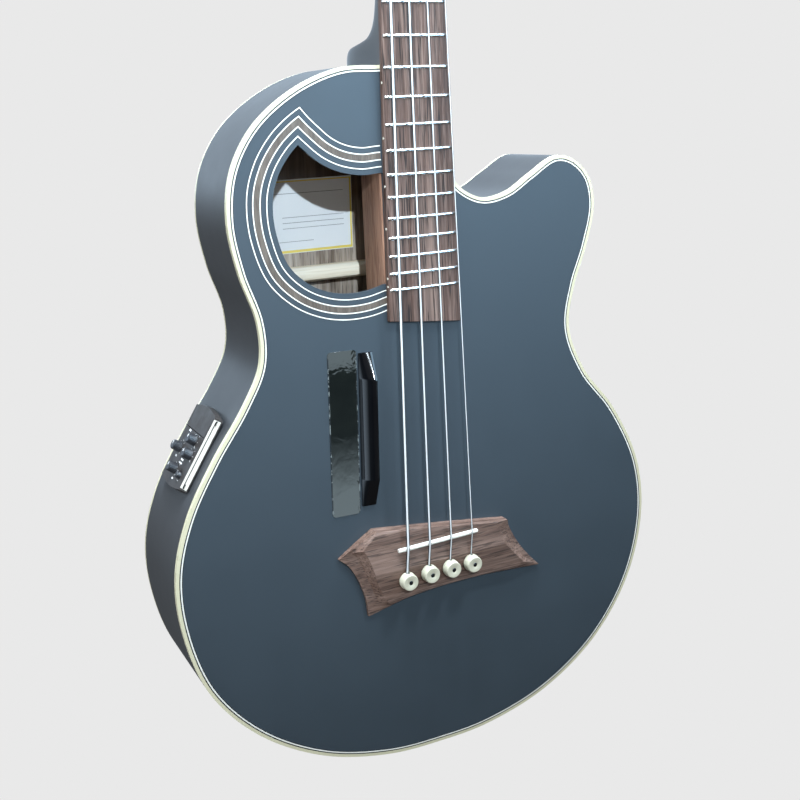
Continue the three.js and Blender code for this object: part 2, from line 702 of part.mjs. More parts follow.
const middleGap = block(
  [-FIT_GAP / 2, -CUT_OVERRUN, -CUT_OVERRUN],
  [FIT_GAP / 2, TAIL_DEPTH + CUT_OVERRUN, BODY_LENGTH + CUT_OVERRUN],
);

// A plain cylinder along Z through the tail.
function tailBore(radius, depth) {
  const bore = rod(radius, -CUT_OVERRUN, TAIL_BLOCK_LENGTH + CUT_OVERRUN * 2);
  return bore.rotateX(Math.PI / 2).translate(0, depth, 0);
}
const tailBores = () => [
  tailBore(BUTTON_PIN_SHANK + FIT_GAP, END_PIN_DEPTH),
  tailBore(JACK_BARREL_RADIUS + FIT_GAP, JACK_DEPTH),
];

function addRims() {
  const front = shifted(topFace, BINDING_HEIGHT + GLUE_GAP);
  const back = shifted(backFace, -BINDING_HEIGHT - GLUE_GAP);
  const bass = strip(0, tailIndex + 1, 0, RIM_THICKNESS, front, back);
  const treble = carve([
    strip(tailIndex, outline.length, 0, RIM_THICKNESS, front, back),
    neckEndRim(front, back),
  ]);
  const preampCut = housingForm(FIT_GAP).map((g) => g.applyMatrix4(preampFrame.matrix));
  add('side_rim_bass', carve([bass], [middleGap, ...preampCut, ...tailBores()]), 'paintedSide');
  add('side_rim_treble', carve([treble], [middleGap, ...tailBores()]), 'paintedSide');
}

// The short stretch of the treble rim across the neck block's end.
function neckEndRim(front, back) {
  const inner = inset(outline, RIM_THICKNESS);
  const last = outline.length - 1;
  return prism([outline[last], outline[0], inner[0], inner[last]], front, back);
}

function addLinings() {
  const near = RIM_THICKNESS + GLUE_GAP;
  const far = near + LINING_WIDTH;
  const start = outline.findIndex(([x], i) => i > 0 && x < -(NECK_BLOCK_BASS_EDGE + LINING_WIDTH));
  const end = outline.length - 2 * BODY_SAMPLES - 1;
  const top = strip(start, end, near, far, topInside, shifted(topInside, LINING_HEIGHT));
  const back = strip(start, end, near, far, shifted(backInside, -LINING_HEIGHT), backInside);
  const wallCut = housingForm(FIT_GAP).map((g) => g.applyMatrix4(preampFrame.matrix));
  add('top_lining', carve([top], wallCut), 'spruce');
  add('back_lining', carve([back], wallCut), 'spruce');
}

function crossHeight() {
  const half = FACE_BRACE_WIDTH / 2;
  const spread = BRIDGE_PLATE_HALF_WIDTH / Math.tan(CROSS_ANGLE) + half / Math.sin(CROSS_ANGLE);
  return SADDLE_TO_TAIL + BRIDGE_PLATE_TOP + spread + CROSS_PLATE_CLEARANCE;
}

const blockTop = BODY_LENGTH - BINDING_WIDTH - GLUE_GAP * 2;
const tongueLow = blockTop - NECK_TONGUE_SHARE * (blockTop - crossHeight());

function addBlocks() {
  const topZ = blockTop;
  const lowZ = topZ - NECK_BLOCK_LENGTH;
  const left = -NECK_BLOCK_BASS_EDGE;
  const right = neckCorner[0] - RIM_THICKNESS - NECK_BLOCK_TREBLE_GAP;
  const square = [[left, lowZ], [right, lowZ], [right, topZ], [left, topZ]];
  const tongueOutline = [[left, tongueLow], [right, tongueLow], [right, topZ], [left, topZ]];
  const tongue = prism(tongueOutline, topInside, shifted(topInside, NECK_TONGUE_DEPTH));
  add('neck_block', carve([prism(square, topInside, backInside), tongue]), 'mahogany');

  const lining = LINING_HEIGHT + GLUE_GAP;
  const half = TAIL_BLOCK_HALF_WIDTH;
  const near = RIM_THICKNESS + GLUE_GAP;
  const tailHigh = TAIL_BLOCK_LENGTH + near;
  const tail = [[-half, -CUT_OVERRUN], [half, -CUT_OVERRUN], [half, tailHigh], [-half, tailHigh]];
  const blank = prism(tail, shifted(topInside, lining), shifted(backInside, -lining));
  const shell = prism(inset(outline, near), shifted(topFace, -CUT_OVERRUN), shifted(backFace, CUT_OVERRUN));
  add('tail_block', carve([common(blank, shell)], tailBores()), 'mahogany');
}

function addBraces() {
  const free = RIM_THICKNESS + GLUE_GAP + LINING_WIDTH + BRACE_CLEARANCE;
  const room = prism(inset(outline, free), shifted(topFace, -CUT_OVERRUN), shifted(backFace, CUT_OVERRUN));
  const backBars = [
    ['back_brace_upper', BODY_LENGTH - BACK_BRACE_UPPER_DROP],
    ['back_brace_middle', BODY_LENGTH * BACK_BRACE_MIDDLE_SHARE],
    ['back_brace_lower', BODY_LENGTH * BACK_BRACE_LOWER_SHARE],
  ];
  for (const [name, z] of backBars) {
    const low = z - BACK_BRACE_WIDTH / 2;
    const high = z + BACK_BRACE_WIDTH / 2;
    const reach = BODY_HALF_WIDTH;
    const bar = prism([[-reach, low], [reach, low], [reach, high], [-reach, high]],
      shifted(backInside, -BACK_BRACE_HEIGHT), backInside);
    add(name, common(bar, room), 'spruce');
  }

  const front = topInside();
  const middle = front + FACE_BRACE_HEIGHT / 2;
  const half = FACE_BRACE_WIDTH / 2;
  const crossZ = crossHeight();
  const tipZ = tongueLow - CROSS_BLOCK_CLEARANCE - half * Math.sin(CROSS_ANGLE);
  const upperReach = (tipZ - crossZ) / Math.cos(CROSS_ANGLE);
  const bar = (turn) => {
    const low = [-half, front, -CROSS_LOWER_SHARE * BODY_LENGTH];
    const high = [half, front + FACE_BRACE_HEIGHT, upperReach];
    return common(block(low, high).rotateY(turn).translate(0, 0, crossZ), room);
  };
  const notch = (turn, low, high) => {
    const wide = half + GLUE_GAP;
    const reach = FACE_BRACE_WIDTH * 2;
    return block([-wide, low, -reach], [wide, high, reach]).rotateY(turn).translate(0, 0, crossZ);
  };
  const deep = front + FACE_BRACE_HEIGHT + CUT_OVERRUN;
  const lowerHalf = notch(-CROSS_ANGLE, middle - GLUE_GAP / 2, deep);
  const upperHalf = notch(CROSS_ANGLE, front - CUT_OVERRUN, middle + GLUE_GAP / 2);
  add('x_brace_bass', carve([bar(CROSS_ANGLE)], [lowerHalf]), 'spruce');
  add('x_brace_treble', carve([bar(-CROSS_ANGLE)], [upperHalf]), 'spruce');

  const upperLow = BODY_LENGTH - UPPER_FACE_BRACE_DROP - half;
  const upperHigh = upperLow + FACE_BRACE_WIDTH;
  const inner = NECK_BLOCK_BASS_EDGE + GLUE_GAP;
  const upper = block(
    [-inner - UPPER_FACE_BRACE_LENGTH, front, upperLow],
    [-inner, front + FACE_BRACE_HEIGHT, upperHigh],
  );
  add('upper_face_brace', common(upper, room), 'spruce');

  const plateLow = [-BRIDGE_PLATE_HALF_WIDTH, front, SADDLE_TO_TAIL - BRIDGE_PLATE_BOTTOM];
  const plateBack = front + BRIDGE_PLATE_THICKNESS;
  const plateHigh = [BRIDGE_PLATE_HALF_WIDTH, plateBack, SADDLE_TO_TAIL + BRIDGE_PLATE_TOP];
  add('bridge_plate', carve([block(plateLow, plateHigh)], pinHoles), 'spruce');
}

function addLabel() {
  const high = BODY_LENGTH - LABEL_TOP_DROP;
  const low = high - LABEL_HEIGHT;
  const left = -LABEL_RIGHT_X - LABEL_WIDTH;
  const corners = [[left, low], [-LABEL_RIGHT_X, low], [-LABEL_RIGHT_X, high], [left, high]];
  add('paper_label', prism(corners, shifted(backInside, -LABEL_THICKNESS), backInside), 'paper');
}

// Fingerboard with its frets pressed in
function addFingerboard() {
  const bottom = -GLUE_GAP;
  const section = (half, zOf) => {
    const crown = Array.from({ length: BOARD_STRIPS + 1 }, (_, i) => {
      const x = half - (2 * half * i) / BOARD_STRIPS;
      return [x, boardCrown(x), zOf(x)];
    });
    return [[-half, bottom, zOf(-half)], [half, bottom, zOf(half)], ...crown];
  };
  const endHalf = boardHalfWidth(lastFretZ - BOARD_OVERHANG_BASS);
  const middleEnd = lastFretZ - (BOARD_OVERHANG_BASS + BOARD_OVERHANG_TREBLE) / 2;
  const slope = (BOARD_OVERHANG_BASS - BOARD_OVERHANG_TREBLE) / 2;
  const end = section(endHalf, (x) => SADDLE_TO_TAIL + middleEnd + (slope * x) / endHalf);
  const nutEnd = section(boardHalfWidth(SCALE_LENGTH), () => nutFrontZ);
  const frets = Array.from({ length: FRET_COUNT }, (_, i) => {
    const height = SCALE_LENGTH * 2 ** (-(i + 1) / 12);
    const half = boardHalfWidth(height) - FRET_END_INSET;
    const z = SADDLE_TO_TAIL + height;
    const rings = Array.from({ length: BOARD_STRIPS + 1 }, (_, k) => {
      const x = -half + (2 * half * k) / BOARD_STRIPS;
      const foot = boardCrown(x) + FRET_TANG;
      const top = boardCrown(x) - FRET_HEIGHT;
      return [
        [x, foot, z - FRET_FOOT_WIDTH / 2], [x, top, z - FRET_CROWN_WIDTH / 2],
        [x, top, z + FRET_CROWN_WIDTH / 2], [x, foot, z + FRET_FOOT_WIDTH / 2],
      ];
    });
    return loft(rings);
  });
  add('fingerboard', carve([loft([end, nutEnd]), ...frets]), 'darkWood');
}

function addNut() {
  const half = NUT_WIDTH / 2;
  const top = boardTop - NUT_RISE;
  const blank = block([-half, top, nutFrontZ + GLUE_GAP], [half, -GLUE_GAP, nutBackZ]);
  const slots = strings.map(({ nutX, radius }) => {
    const wide = radius + FIT_GAP;
    const floor = boardTop - FRET_HEIGHT - NUT_SLOT_LIFT + STRING_LIFT;
    return block([nutX - wide, top - CUT_OVERRUN, nutFrontZ - CUT_OVERRUN],
      [nutX + wide, floor, nutBackZ + CUT_OVERRUN]);
  });
  add('nut', carve([blank], slots), 'bone');
}

// Neck shaft, heel and headstock in one piece of wood
function neckSection(z, half, depth, squareness) {
  return Array.from({ length: NECK_SECTION_STEPS + 1 }, (_, i) => {
    const turn = (Math.PI * i) / NECK_SECTION_STEPS;
    const across = Math.cos(turn);
    const x = -half * Math.sign(across) * Math.abs(across) ** (2 / squareness);
    return [x, depth * Math.sin(turn) ** (2 / squareness), z];
  });
}

function neckShaft() {
  const bottomZ = BODY_LENGTH + GLUE_GAP;
  const rings = heelProfileShares.map(([place, depth, square]) => {
    const z = bottomZ + place * HEEL_LENGTH;
    const half = boardHalfWidth(z - SADDLE_TO_TAIL) - HEEL_WIDTH_STEP;
    const squareness = SHAFT_SQUARENESS + (HEEL_SQUARENESS - SHAFT_SQUARENESS) * square;
    return neckSection(z, half, HEEL_DEPTH * depth, squareness);
  });
  const shaft = (z, depth) => {
    const half = boardHalfWidth(z - SADDLE_TO_TAIL) - HEEL_WIDTH_STEP;
    return neckSection(z, half, depth, SHAFT_SQUARENESS);
  };
  rings.push(shaft(bottomZ + HEEL_LENGTH, NECK_DEPTH_AT_HEEL));
  rings.push(shaft(nutFrontZ - HEAD_THROAT, NECK_DEPTH_AT_NUT));
  rings.push(shaft(nutBackZ, NECK_DEPTH_AT_NUT));
  rings.push(neckSection(nutBackZ + HEAD_THROAT, NUT_WIDTH / 2, HEAD_THICKNESS, SHAFT_SQUARENESS));
  return loft(rings);
}

function headOutline() {
  const knots = headOutlineShares.map(([x, z]) => [x * HEAD_HALF_WIDTH, z * HEAD_LENGTH]);
  const right = smooth(knots, HEAD_SAMPLES);
  const left = right.slice(0, -1).map(([x, z]) => [-x, z]).reverse();
  return [...right, ...left];
}

const tuners = [
  { side: -1, z: TUNER_LOWER_Z },
  { side: -1, z: TUNER_UPPER_Z },
  { side: 1, z: TUNER_UPPER_Z },
  { side: 1, z: TUNER_LOWER_Z },
];

function addNeck() {
  const thickness = () => HEAD_THICKNESS;
  const head = prism(headOutline(), topFace, thickness);
  const reach = HEAD_HALF_WIDTH + CUT_OVERRUN;
  const headCuts = [
    block([-reach, -HEAD_THICKNESS, 0], [reach, 0, HEAD_LENGTH]),
    block([-ROD_POCKET_WIDTH / 2, -CUT_OVERRUN, -CUT_OVERRUN],
      [ROD_POCKET_WIDTH / 2, ROD_DEPTH, ROD_POCKET_LENGTH]),
    ...tuners.map(({ side, z }) => rod(POST_RADIUS + TURN_GAP, -CUT_OVERRUN, HEAD_THICKNESS + CUT_OVERRUN)
      .translate(side * TUNER_X, 0, z)),
  ].map((g) => g.applyMatrix4(headFrame.matrix));
  const channelHalf = ROD_WIDTH / 2 + FIT_GAP;
  const channelLow = BODY_LENGTH + ROD_HEEL_CLEARANCE - FIT_GAP;
  const channel = block([-channelHalf, -CUT_OVERRUN, channelLow],
    [channelHalf, ROD_DEPTH + FIT_GAP * 2, nutBackZ + ROD_NUT_REACH]);
  const screwHole = rod(BUTTON_PIN_SHANK + FIT_GAP, -CUT_OVERRUN, BUTTON_PIN_SHANK_LENGTH + FIT_GAP)
    .rotateZ(Math.PI / 2)
    .translate(heelButtonX(), HEEL_BUTTON_DEPTH, BODY_LENGTH + HEEL_BUTTON_HEIGHT);
  head.applyMatrix4(headFrame.matrix);
  add('neck', carve([neckShaft(), head], [...headCuts, channel, screwHole]), 'satinBlack');
}

// Side of the heel where its strap button sits.
function heelButtonX() {
  return boardHalfWidth(BODY_LENGTH - SADDLE_TO_TAIL) - HEEL_WIDTH_STEP;
}

function addTrussRod() {
  const half = ROD_WIDTH / 2;
  const low = BODY_LENGTH + ROD_HEEL_CLEARANCE;
  const barEnd = nutBackZ - ROD_NUT_LENGTH + ROD_NUT_REACH;
  const bar = block([-half, FIT_GAP, low], [half, FIT_GAP + ROD_DEPTH, barEnd]);
  const middle = FIT_GAP + ROD_DEPTH / 2;
  const tip = rod(ROD_NUT_RADIUS, 0, ROD_NUT_LENGTH, ROD_NUT_SIDES)
    .rotateX(Math.PI / 2)
    .translate(0, middle + FIT_GAP, barEnd);
  add('truss_rod', carve([bar, tip]), 'steel');

  const shape = coverOutlineShares.map(([x, z]) => [x * COVER_HALF_WIDTH, COVER_START + z * COVER_LENGTH]);
  const cover = prism(shape, () => -FIT_GAP - COVER_THICKNESS, () => -FIT_GAP);
  add('truss_rod_cover', cover, 'glossBlack', headFrame);
}

// Bridge: a low six-pointed plate with a scooped, raised deck
function bridgeRing(columns) {
  return bridgeRingShares.map((row) => {
    const [x, z, height] = columns.map((c) => row[c]);
    return [x * BRIDGE_SPAN, -height * BRIDGE_HEIGHT - GLUE_GAP, SADDLE_TO_TAIL + z * BRIDGE_DROP];
  });
}

function saddleForm(grow) {
  const half = SADDLE_THICKNESS / 2 + grow;
  const low = -(BRIDGE_HEIGHT - SADDLE_SEAT) + grow;
  const high = -SADDLE_RISE - grow;
  const crown = SADDLE_CROWN;
  const shoulder = SADDLE_SHOULDER;
  const ends = [-SADDLE_LENGTH / 2 - grow, SADDLE_LENGTH / 2 + grow];
  const rings = ends.map((x) => [
    [x, low, -half], [x, low, half], [x, high + crown, half], [x, high + shoulder, half / 2],
    [x, high, 0], [x, high + shoulder, -half / 2], [x, high + crown, -half],
  ]);
  const tilt = -Math.atan2(SADDLE_SLANT, SADDLE_LENGTH);
  return loft(rings).rotateY(tilt).translate(SADDLE_CENTRE_X, 0, SADDLE_TO_TAIL + SADDLE_SHIFT);
}

function addBridge() {
  const outer = bridgeRing([0, 1, 2]);
  const foot = outer.map(([x, , z]) => [x, -GLUE_GAP, z]);
  const rings = [foot, outer, bridgeRing([3, 4, 5]), bridgeRing([6, 7, 8])];
  const cap = (ring) => capTriangles(ring.map(([x, , z]) => [x, z]));
  const skin = loft(rings, cap(foot), cap(rings[rings.length - 1]));
  const wide = BRIDGE_SPAN;
  const slopeZ = (drop) => SADDLE_TO_TAIL - drop;
  const tall = BRIDGE_HEIGHT + CUT_OVERRUN;
  const fall = (BRIDGE_HEIGHT - BRIDGE_REAR_HEIGHT) / (BRIDGE_SLOPE_END - BRIDGE_SLOPE_START);
  const reach = BRIDGE_DROP;
  const wedge = [-wide, wide].map((x) => [
    [x, -BRIDGE_HEIGHT, slopeZ(BRIDGE_SLOPE_START)],
    [x, -tall, slopeZ(BRIDGE_SLOPE_START)],
    [x, -tall, slopeZ(BRIDGE_SLOPE_START + reach)],
    [x, -BRIDGE_HEIGHT + fall * reach, slopeZ(BRIDGE_SLOPE_START + reach)],
  ]);
  add('bridge', carve([skin], [loft(wedge), saddleForm(GLUE_GAP), ...pinHoles]), 'darkWood');
  add('saddle', saddleForm(0), 'bone');
}

function addPins() {
  for (const { name, x, pinZ, riseZ, radius } of strings) {
    const deck = deckHeight(SADDLE_TO_TAIL - pinZ + PIN_HEAD_RADIUS) + (PIN_HEAD_RADIUS * 2
      * (BRIDGE_HEIGHT - BRIDGE_REAR_HEIGHT)) / (BRIDGE_SLOPE_END - BRIDGE_SLOPE_START);
    const base = -deck - FIT_GAP;
    const profile = [
      [0, PIN_REACH], [PIN_TIP_RADIUS, PIN_REACH], [PIN_SHAFT_RADIUS, base],
      ...pinHeadShares.map(([r, rise]) => [r * PIN_HEAD_RADIUS, base - rise * PIN_HEAD_HEIGHT]),
      [0, base - PIN_HEAD_HEIGHT],
    ];
    const half = radius + FIT_GAP;
    const notchTop = -(deck + STRING_LIFT + radius * 2 + FIT_GAP * 3);
    const notch = block([x - half, notchTop, riseZ - half], [x + half, 0, pinZ + PIN_HEAD_RADIUS * 2]);
    const form = turned(profile, PIN_SIDES).translate(x, 0, pinZ);
    add(`bridge_pin_${name}`, carve([form], [notch]), 'bone');
  }
}

// Strings, from the ball under the bridge plate to the wraps on the post
function stringWraps({ side, z }, radius) {
  const reach = POST_RADIUS + WRAP_GAP + radius;
  const pitch = radius * 2 + WRAP_SPACING;
  const first = side < 0 ? 0 : Math.PI;
  return Array.from({ length: WRAP_TURNS * WRAP_STEPS + 1 }, (_, i) => {
    const turns = i / WRAP_STEPS;
    const turn = first - side * turns * 2 * Math.PI;
    const local = new THREE.Vector3(
      side * TUNER_X + reach * Math.cos(turn),
      -WRAP_HEIGHT - pitch * turns,
      z + reach * Math.sin(turn),
    );
    return local.applyMatrix4(headFrame.matrix).toArray();
  });
}

function addStrings() {
  let leastGap = Infinity;
  strings.forEach((string, i) => {
    const { name, radius, x, nutX, riseZ, saddleZ } = string;
    const plateBack = topInside() + BRIDGE_PLATE_THICKNESS;
    const ballZ = riseZ + BALL_STEP;
    const ballTop = plateBack + FIT_GAP * 3;
    const bendDrop = SADDLE_TO_TAIL - riseZ;
    const bendY = -(deckHeight(bendDrop) + STRING_LIFT * 2 + radius);
    const saddleY = -(SADDLE_RISE + STRING_LIFT + radius);
    const nutY = boardTop - FRET_HEIGHT - NUT_SLOT_LIFT - radius;
    const wraps = stringWraps(tuners[i], radius);
    const path = [
      [x, ballTop + BALL_LENGTH, ballZ],
      [x, ballTop, ballZ],
      [x, plateBack, riseZ],
      [x, bendY + radius, riseZ],
      [x, bendY, riseZ + radius],
      [x, saddleY, saddleZ],
      [nutX, nutY, nutFrontZ],
      [nutX, nutY, nutBackZ],
      ...wraps,
    ];
    const radii = path.map((_, k) => (k < 2 ? BALL_RADIUS : radius));
    add(`string_${name}`, tube(path, radii, STRING_SIDES), 'steel');
    leastGap = Math.min(leastGap, wrapGap(wraps, radius));
  });
  console.log(`least gap between string wraps: ${leastGap.toFixed(2)} mm`);
}

// Least gap between turns of one string's wraps.
function wrapGap(wraps, radius) {
  const places = wraps.map((p) => new THREE.Vector3(...p));
  let least = Infinity;
  for (let i = 0; i < places.length; i += 1) {
    for (let k = i + Math.floor(WRAP_STEPS / 2); k < places.length; k += 1) {
      least = Math.min(least, places[i].distanceTo(places[k]) - radius * 2);
    }
  }
  return least;
}

// Tuners: base plate with ears, slotted post with its gear, and worm key
function tunerBase({ side, z }) {
  const back = HEAD_THICKNESS + FIT_GAP;
  const x = side * TUNER_X;
  const plate = block([x - PLATE_HALF_WIDTH, back, z - PLATE_LOW_REACH],
    [x + PLATE_HALF_WIDTH, back + PLATE_THICKNESS, z + PLATE_HIGH_REACH]);
  const wormZ = z + GEAR_RADIUS + WORM_RADIUS + TURN_GAP;
  const tip = wormY() + WORM_RADIUS + EAR_TIP / 2;
  const ears = [-1, 1].map((end) => {
    const middle = x + end * (EAR_OFFSET + EAR_THICKNESS / 2);
    return block([middle - EAR_THICKNESS / 2, back, wormZ - EAR_HALF_LENGTH],
      [middle + EAR_THICKNESS / 2, tip, wormZ + EAR_HALF_LENGTH]);
  });
  const postHole = rod(POST_RADIUS + TURN_GAP, 0, back + PLATE_THICKNESS + CUT_OVERRUN).translate(x, 0, z);
  const shaftHole = rod(KEY_SHAFT_RADIUS + TURN_GAP, -PLATE_HALF_WIDTH * 2, PLATE_HALF_WIDTH * 2)
    .rotateZ(Math.PI / 2)
    .translate(x, wormY(), wormZ);
  const wormRoom = block([x - EAR_OFFSET, wormY() - WORM_RADIUS - TURN_GAP, wormZ - WORM_RADIUS - TURN_GAP],
    [x + EAR_OFFSET, tip + CUT_OVERRUN, wormZ + WORM_RADIUS + TURN_GAP]);
  return carve([plate, ...ears], [postHole, shaftHole, wormRoom]);
}

// Depth of the worm's axis behind the headstock's face.
function wormY() {
  return HEAD_THICKNESS + FIT_GAP + PLATE_THICKNESS + TURN_GAP + GEAR_THICKNESS / 2;
}

function tunerPost({ side, z }) {
  const gearLow = HEAD_THICKNESS + FIT_GAP + PLATE_THICKNESS + TURN_GAP;
  const profile = [
    [0, -POST_RISE], [POST_CAP_RADIUS - POST_CAP_CHAMFER, -POST_RISE],
    [POST_CAP_RADIUS, -POST_RISE + POST_CAP_CHAMFER],
    [POST_CAP_RADIUS, -POST_RISE + POST_CAP_HEIGHT], [POST_RADIUS, -POST_RISE + POST_CAP_HEIGHT],
    [POST_RADIUS, gearLow], [GEAR_RADIUS, gearLow], [GEAR_RADIUS, gearLow + GEAR_THICKNESS],
    [0, gearLow + GEAR_THICKNESS],
  ];
  const half = POST_SLOT_WIDTH / 2;
  const slot = block([-POST_CAP_RADIUS * 2, -POST_RISE - CUT_OVERRUN, -half],
    [POST_CAP_RADIUS * 2, -POST_RISE + POST_CAP_HEIGHT, half]);
  return carve([turned(profile, POST_SIDES)], [slot]).translate(side * TUNER_X, 0, z);
}

function tunerKey({ side, z }) {
  const profile = [
    [0, -EAR_OFFSET - EAR_THICKNESS], [KEY_SHAFT_RADIUS, -EAR_OFFSET - EAR_THICKNESS],
    [KEY_SHAFT_RADIUS, -EAR_OFFSET + TURN_GAP], [WORM_RADIUS, -EAR_OFFSET + TURN_GAP],
    [WORM_RADIUS, EAR_OFFSET - TURN_GAP], [KEY_SHAFT_RADIUS, EAR_OFFSET - TURN_GAP],
    [KEY_SHAFT_RADIUS, KEY_SHAFT_END - TUNER_X], [0, KEY_SHAFT_END - TUNER_X],
  ];
  const shaft = turned(profile, KEY_SIDES).rotateZ(-Math.PI / 2);
  const start = KEY_SHAFT_END - TUNER_X - KEY_SHAFT_RADIUS;
  const half = keyLeafShares.map(([x, z]) => [start + x * KEY_LEAF_LENGTH, z * KEY_LEAF_HALF_WIDTH]);
  const leaf = prism([...half, ...half.map(([x, h]) => [x, -h]).reverse()],
    () => -KEY_LEAF_THICKNESS / 2, () => KEY_LEAF_THICKNESS / 2);
  const key = carve([shaft, leaf]);
  if (side < 0) key.rotateY(Math.PI);
  return key.translate(side * TUNER_X, wormY(), z + GEAR_RADIUS + WORM_RADIUS + TURN_GAP);
}

function addTuners() {
  tuners.forEach((tuner, i) => {
    const name = STRING_NAMES[i];
    add(`tuner_base_${name}`, tunerBase(tuner), 'chrome', headFrame);
    add(`tuner_post_${name}`, tunerPost(tuner), 'chrome', headFrame);
    add(`tuner_key_${name}`, tunerKey(tuner), 'chrome', headFrame);
  });
}

// Thumb rest with ramped ends, and the clear film beside it
function addThumbRest() {
  const half = REST_LENGTH / 2;
  const stations = [
    [-half, REST_END_HEIGHT], [-half + REST_LOWER_RAMP, REST_HEIGHT],
    [half - REST_UPPER_RAMP, REST_HEIGHT], [half, REST_END_HEIGHT],
  ];
  const base = REST_BASE_WIDTH / 2;
  const leftDraft = REST_BASS_DRAFT / REST_HEIGHT;
  const rightDraft = REST_TREBLE_DRAFT / REST_HEIGHT;
  const rings = stations.map(([z, height]) => [
    [-base, -GLUE_GAP, z], [base, -GLUE_GAP, z],
    [base - rightDraft * height, -height, z], [-base + leftDraft * height, -height, z],
  ]);
  const tilted = (geometry) => geometry.rotateY(REST_TILT).translate(REST_CENTRE_X, 0, REST_CENTRE_Z);
  add('thumb_rest', tilted(loft(rings)), 'glossBlack');

  const right = -base - FILM_SPACING;
  const left = right - FILM_WIDTH;
  const long = FILM_LENGTH / 2;
  const corner = FILM_CORNER;
  const shape = [
    [left, -long + corner], [left + corner, -long], [right - corner, -long], [right, -long + corner],
    [right, long - corner], [right - corner, long], [left + corner, long], [left, long - corner],
  ].map(([x, z]) => [x, z - FILM_DROP]);
  const film = prism(shape, () => -GLUE_GAP - FILM_THICKNESS, () => -GLUE_GAP);
  add('finger_film', tilted(film), 'glossBlack');
}

// Preamp: x points into the body, z up along the wall
const bayHalf = BATTERY_WIDTH / 2 + FIT_GAP * 2 + BAY_WALL;
const batteryLow = DRAWER_SEAM + FIT_GAP * 2 + DRAWER_FLOOR;
const bayTop = batteryLow + BATTERY_THICKNESS + FIT_GAP + BAY_WALL;
const bayReach = BATTERY_LENGTH + DRAWER_FLOOR + FIT_GAP * 4 + BAY_WALL;
const housingFront = -PANEL_SEAT + FIT_GAP;

// The housing's outer form, grown for a cut or shrunk for its hollow.
function housingForm(grow) {
  const split = DRAWER_SEAM - FIT_GAP;
  const front = housingFront - (grow === 0 ? 0 : CUT_OVERRUN);
  return [
    block(
      [front, -HOUSING_HALF_DEPTH - grow, -HOUSING_LOW - grow],
      [HOUSING_REACH + grow, HOUSING_HALF_DEPTH + grow, split + grow],
    ),
    block(
      [front, -bayHalf - grow, split - BAY_WALL - grow],
      [bayReach + grow, bayHalf + grow, bayTop + grow],
    ),
  ];
}

// The panel's whole outer form, before the drawer is parted from it.
function panelForm() {
  const ring = (x, halfDepth, ends) => {
    const arc = (sign) => Array.from({ length: PANEL_END_STEPS + 1 }, (_, i) => {
      const y = sign * halfDepth * ((2 * i) / PANEL_END_STEPS - 1);
      const bulge = PANEL_END_BULGE * (1 - (y / PANEL_HALF_DEPTH) ** 2);
      return [x, y, sign * (PANEL_HALF_LENGTH + bulge - ends)];
    });
    return [...arc(1), ...arc(-1)];
  };
  return loft([
    ring(-PANEL_SEAT, PANEL_HALF_DEPTH, 0),
    ring(-PANEL_SEAT - PANEL_EDGE, PANEL_HALF_DEPTH, 0),
    ring(-PANEL_HEIGHT, PANEL_HALF_DEPTH - PANEL_SIDE_BEVEL, PANEL_END_BEVEL),
  ]);
}

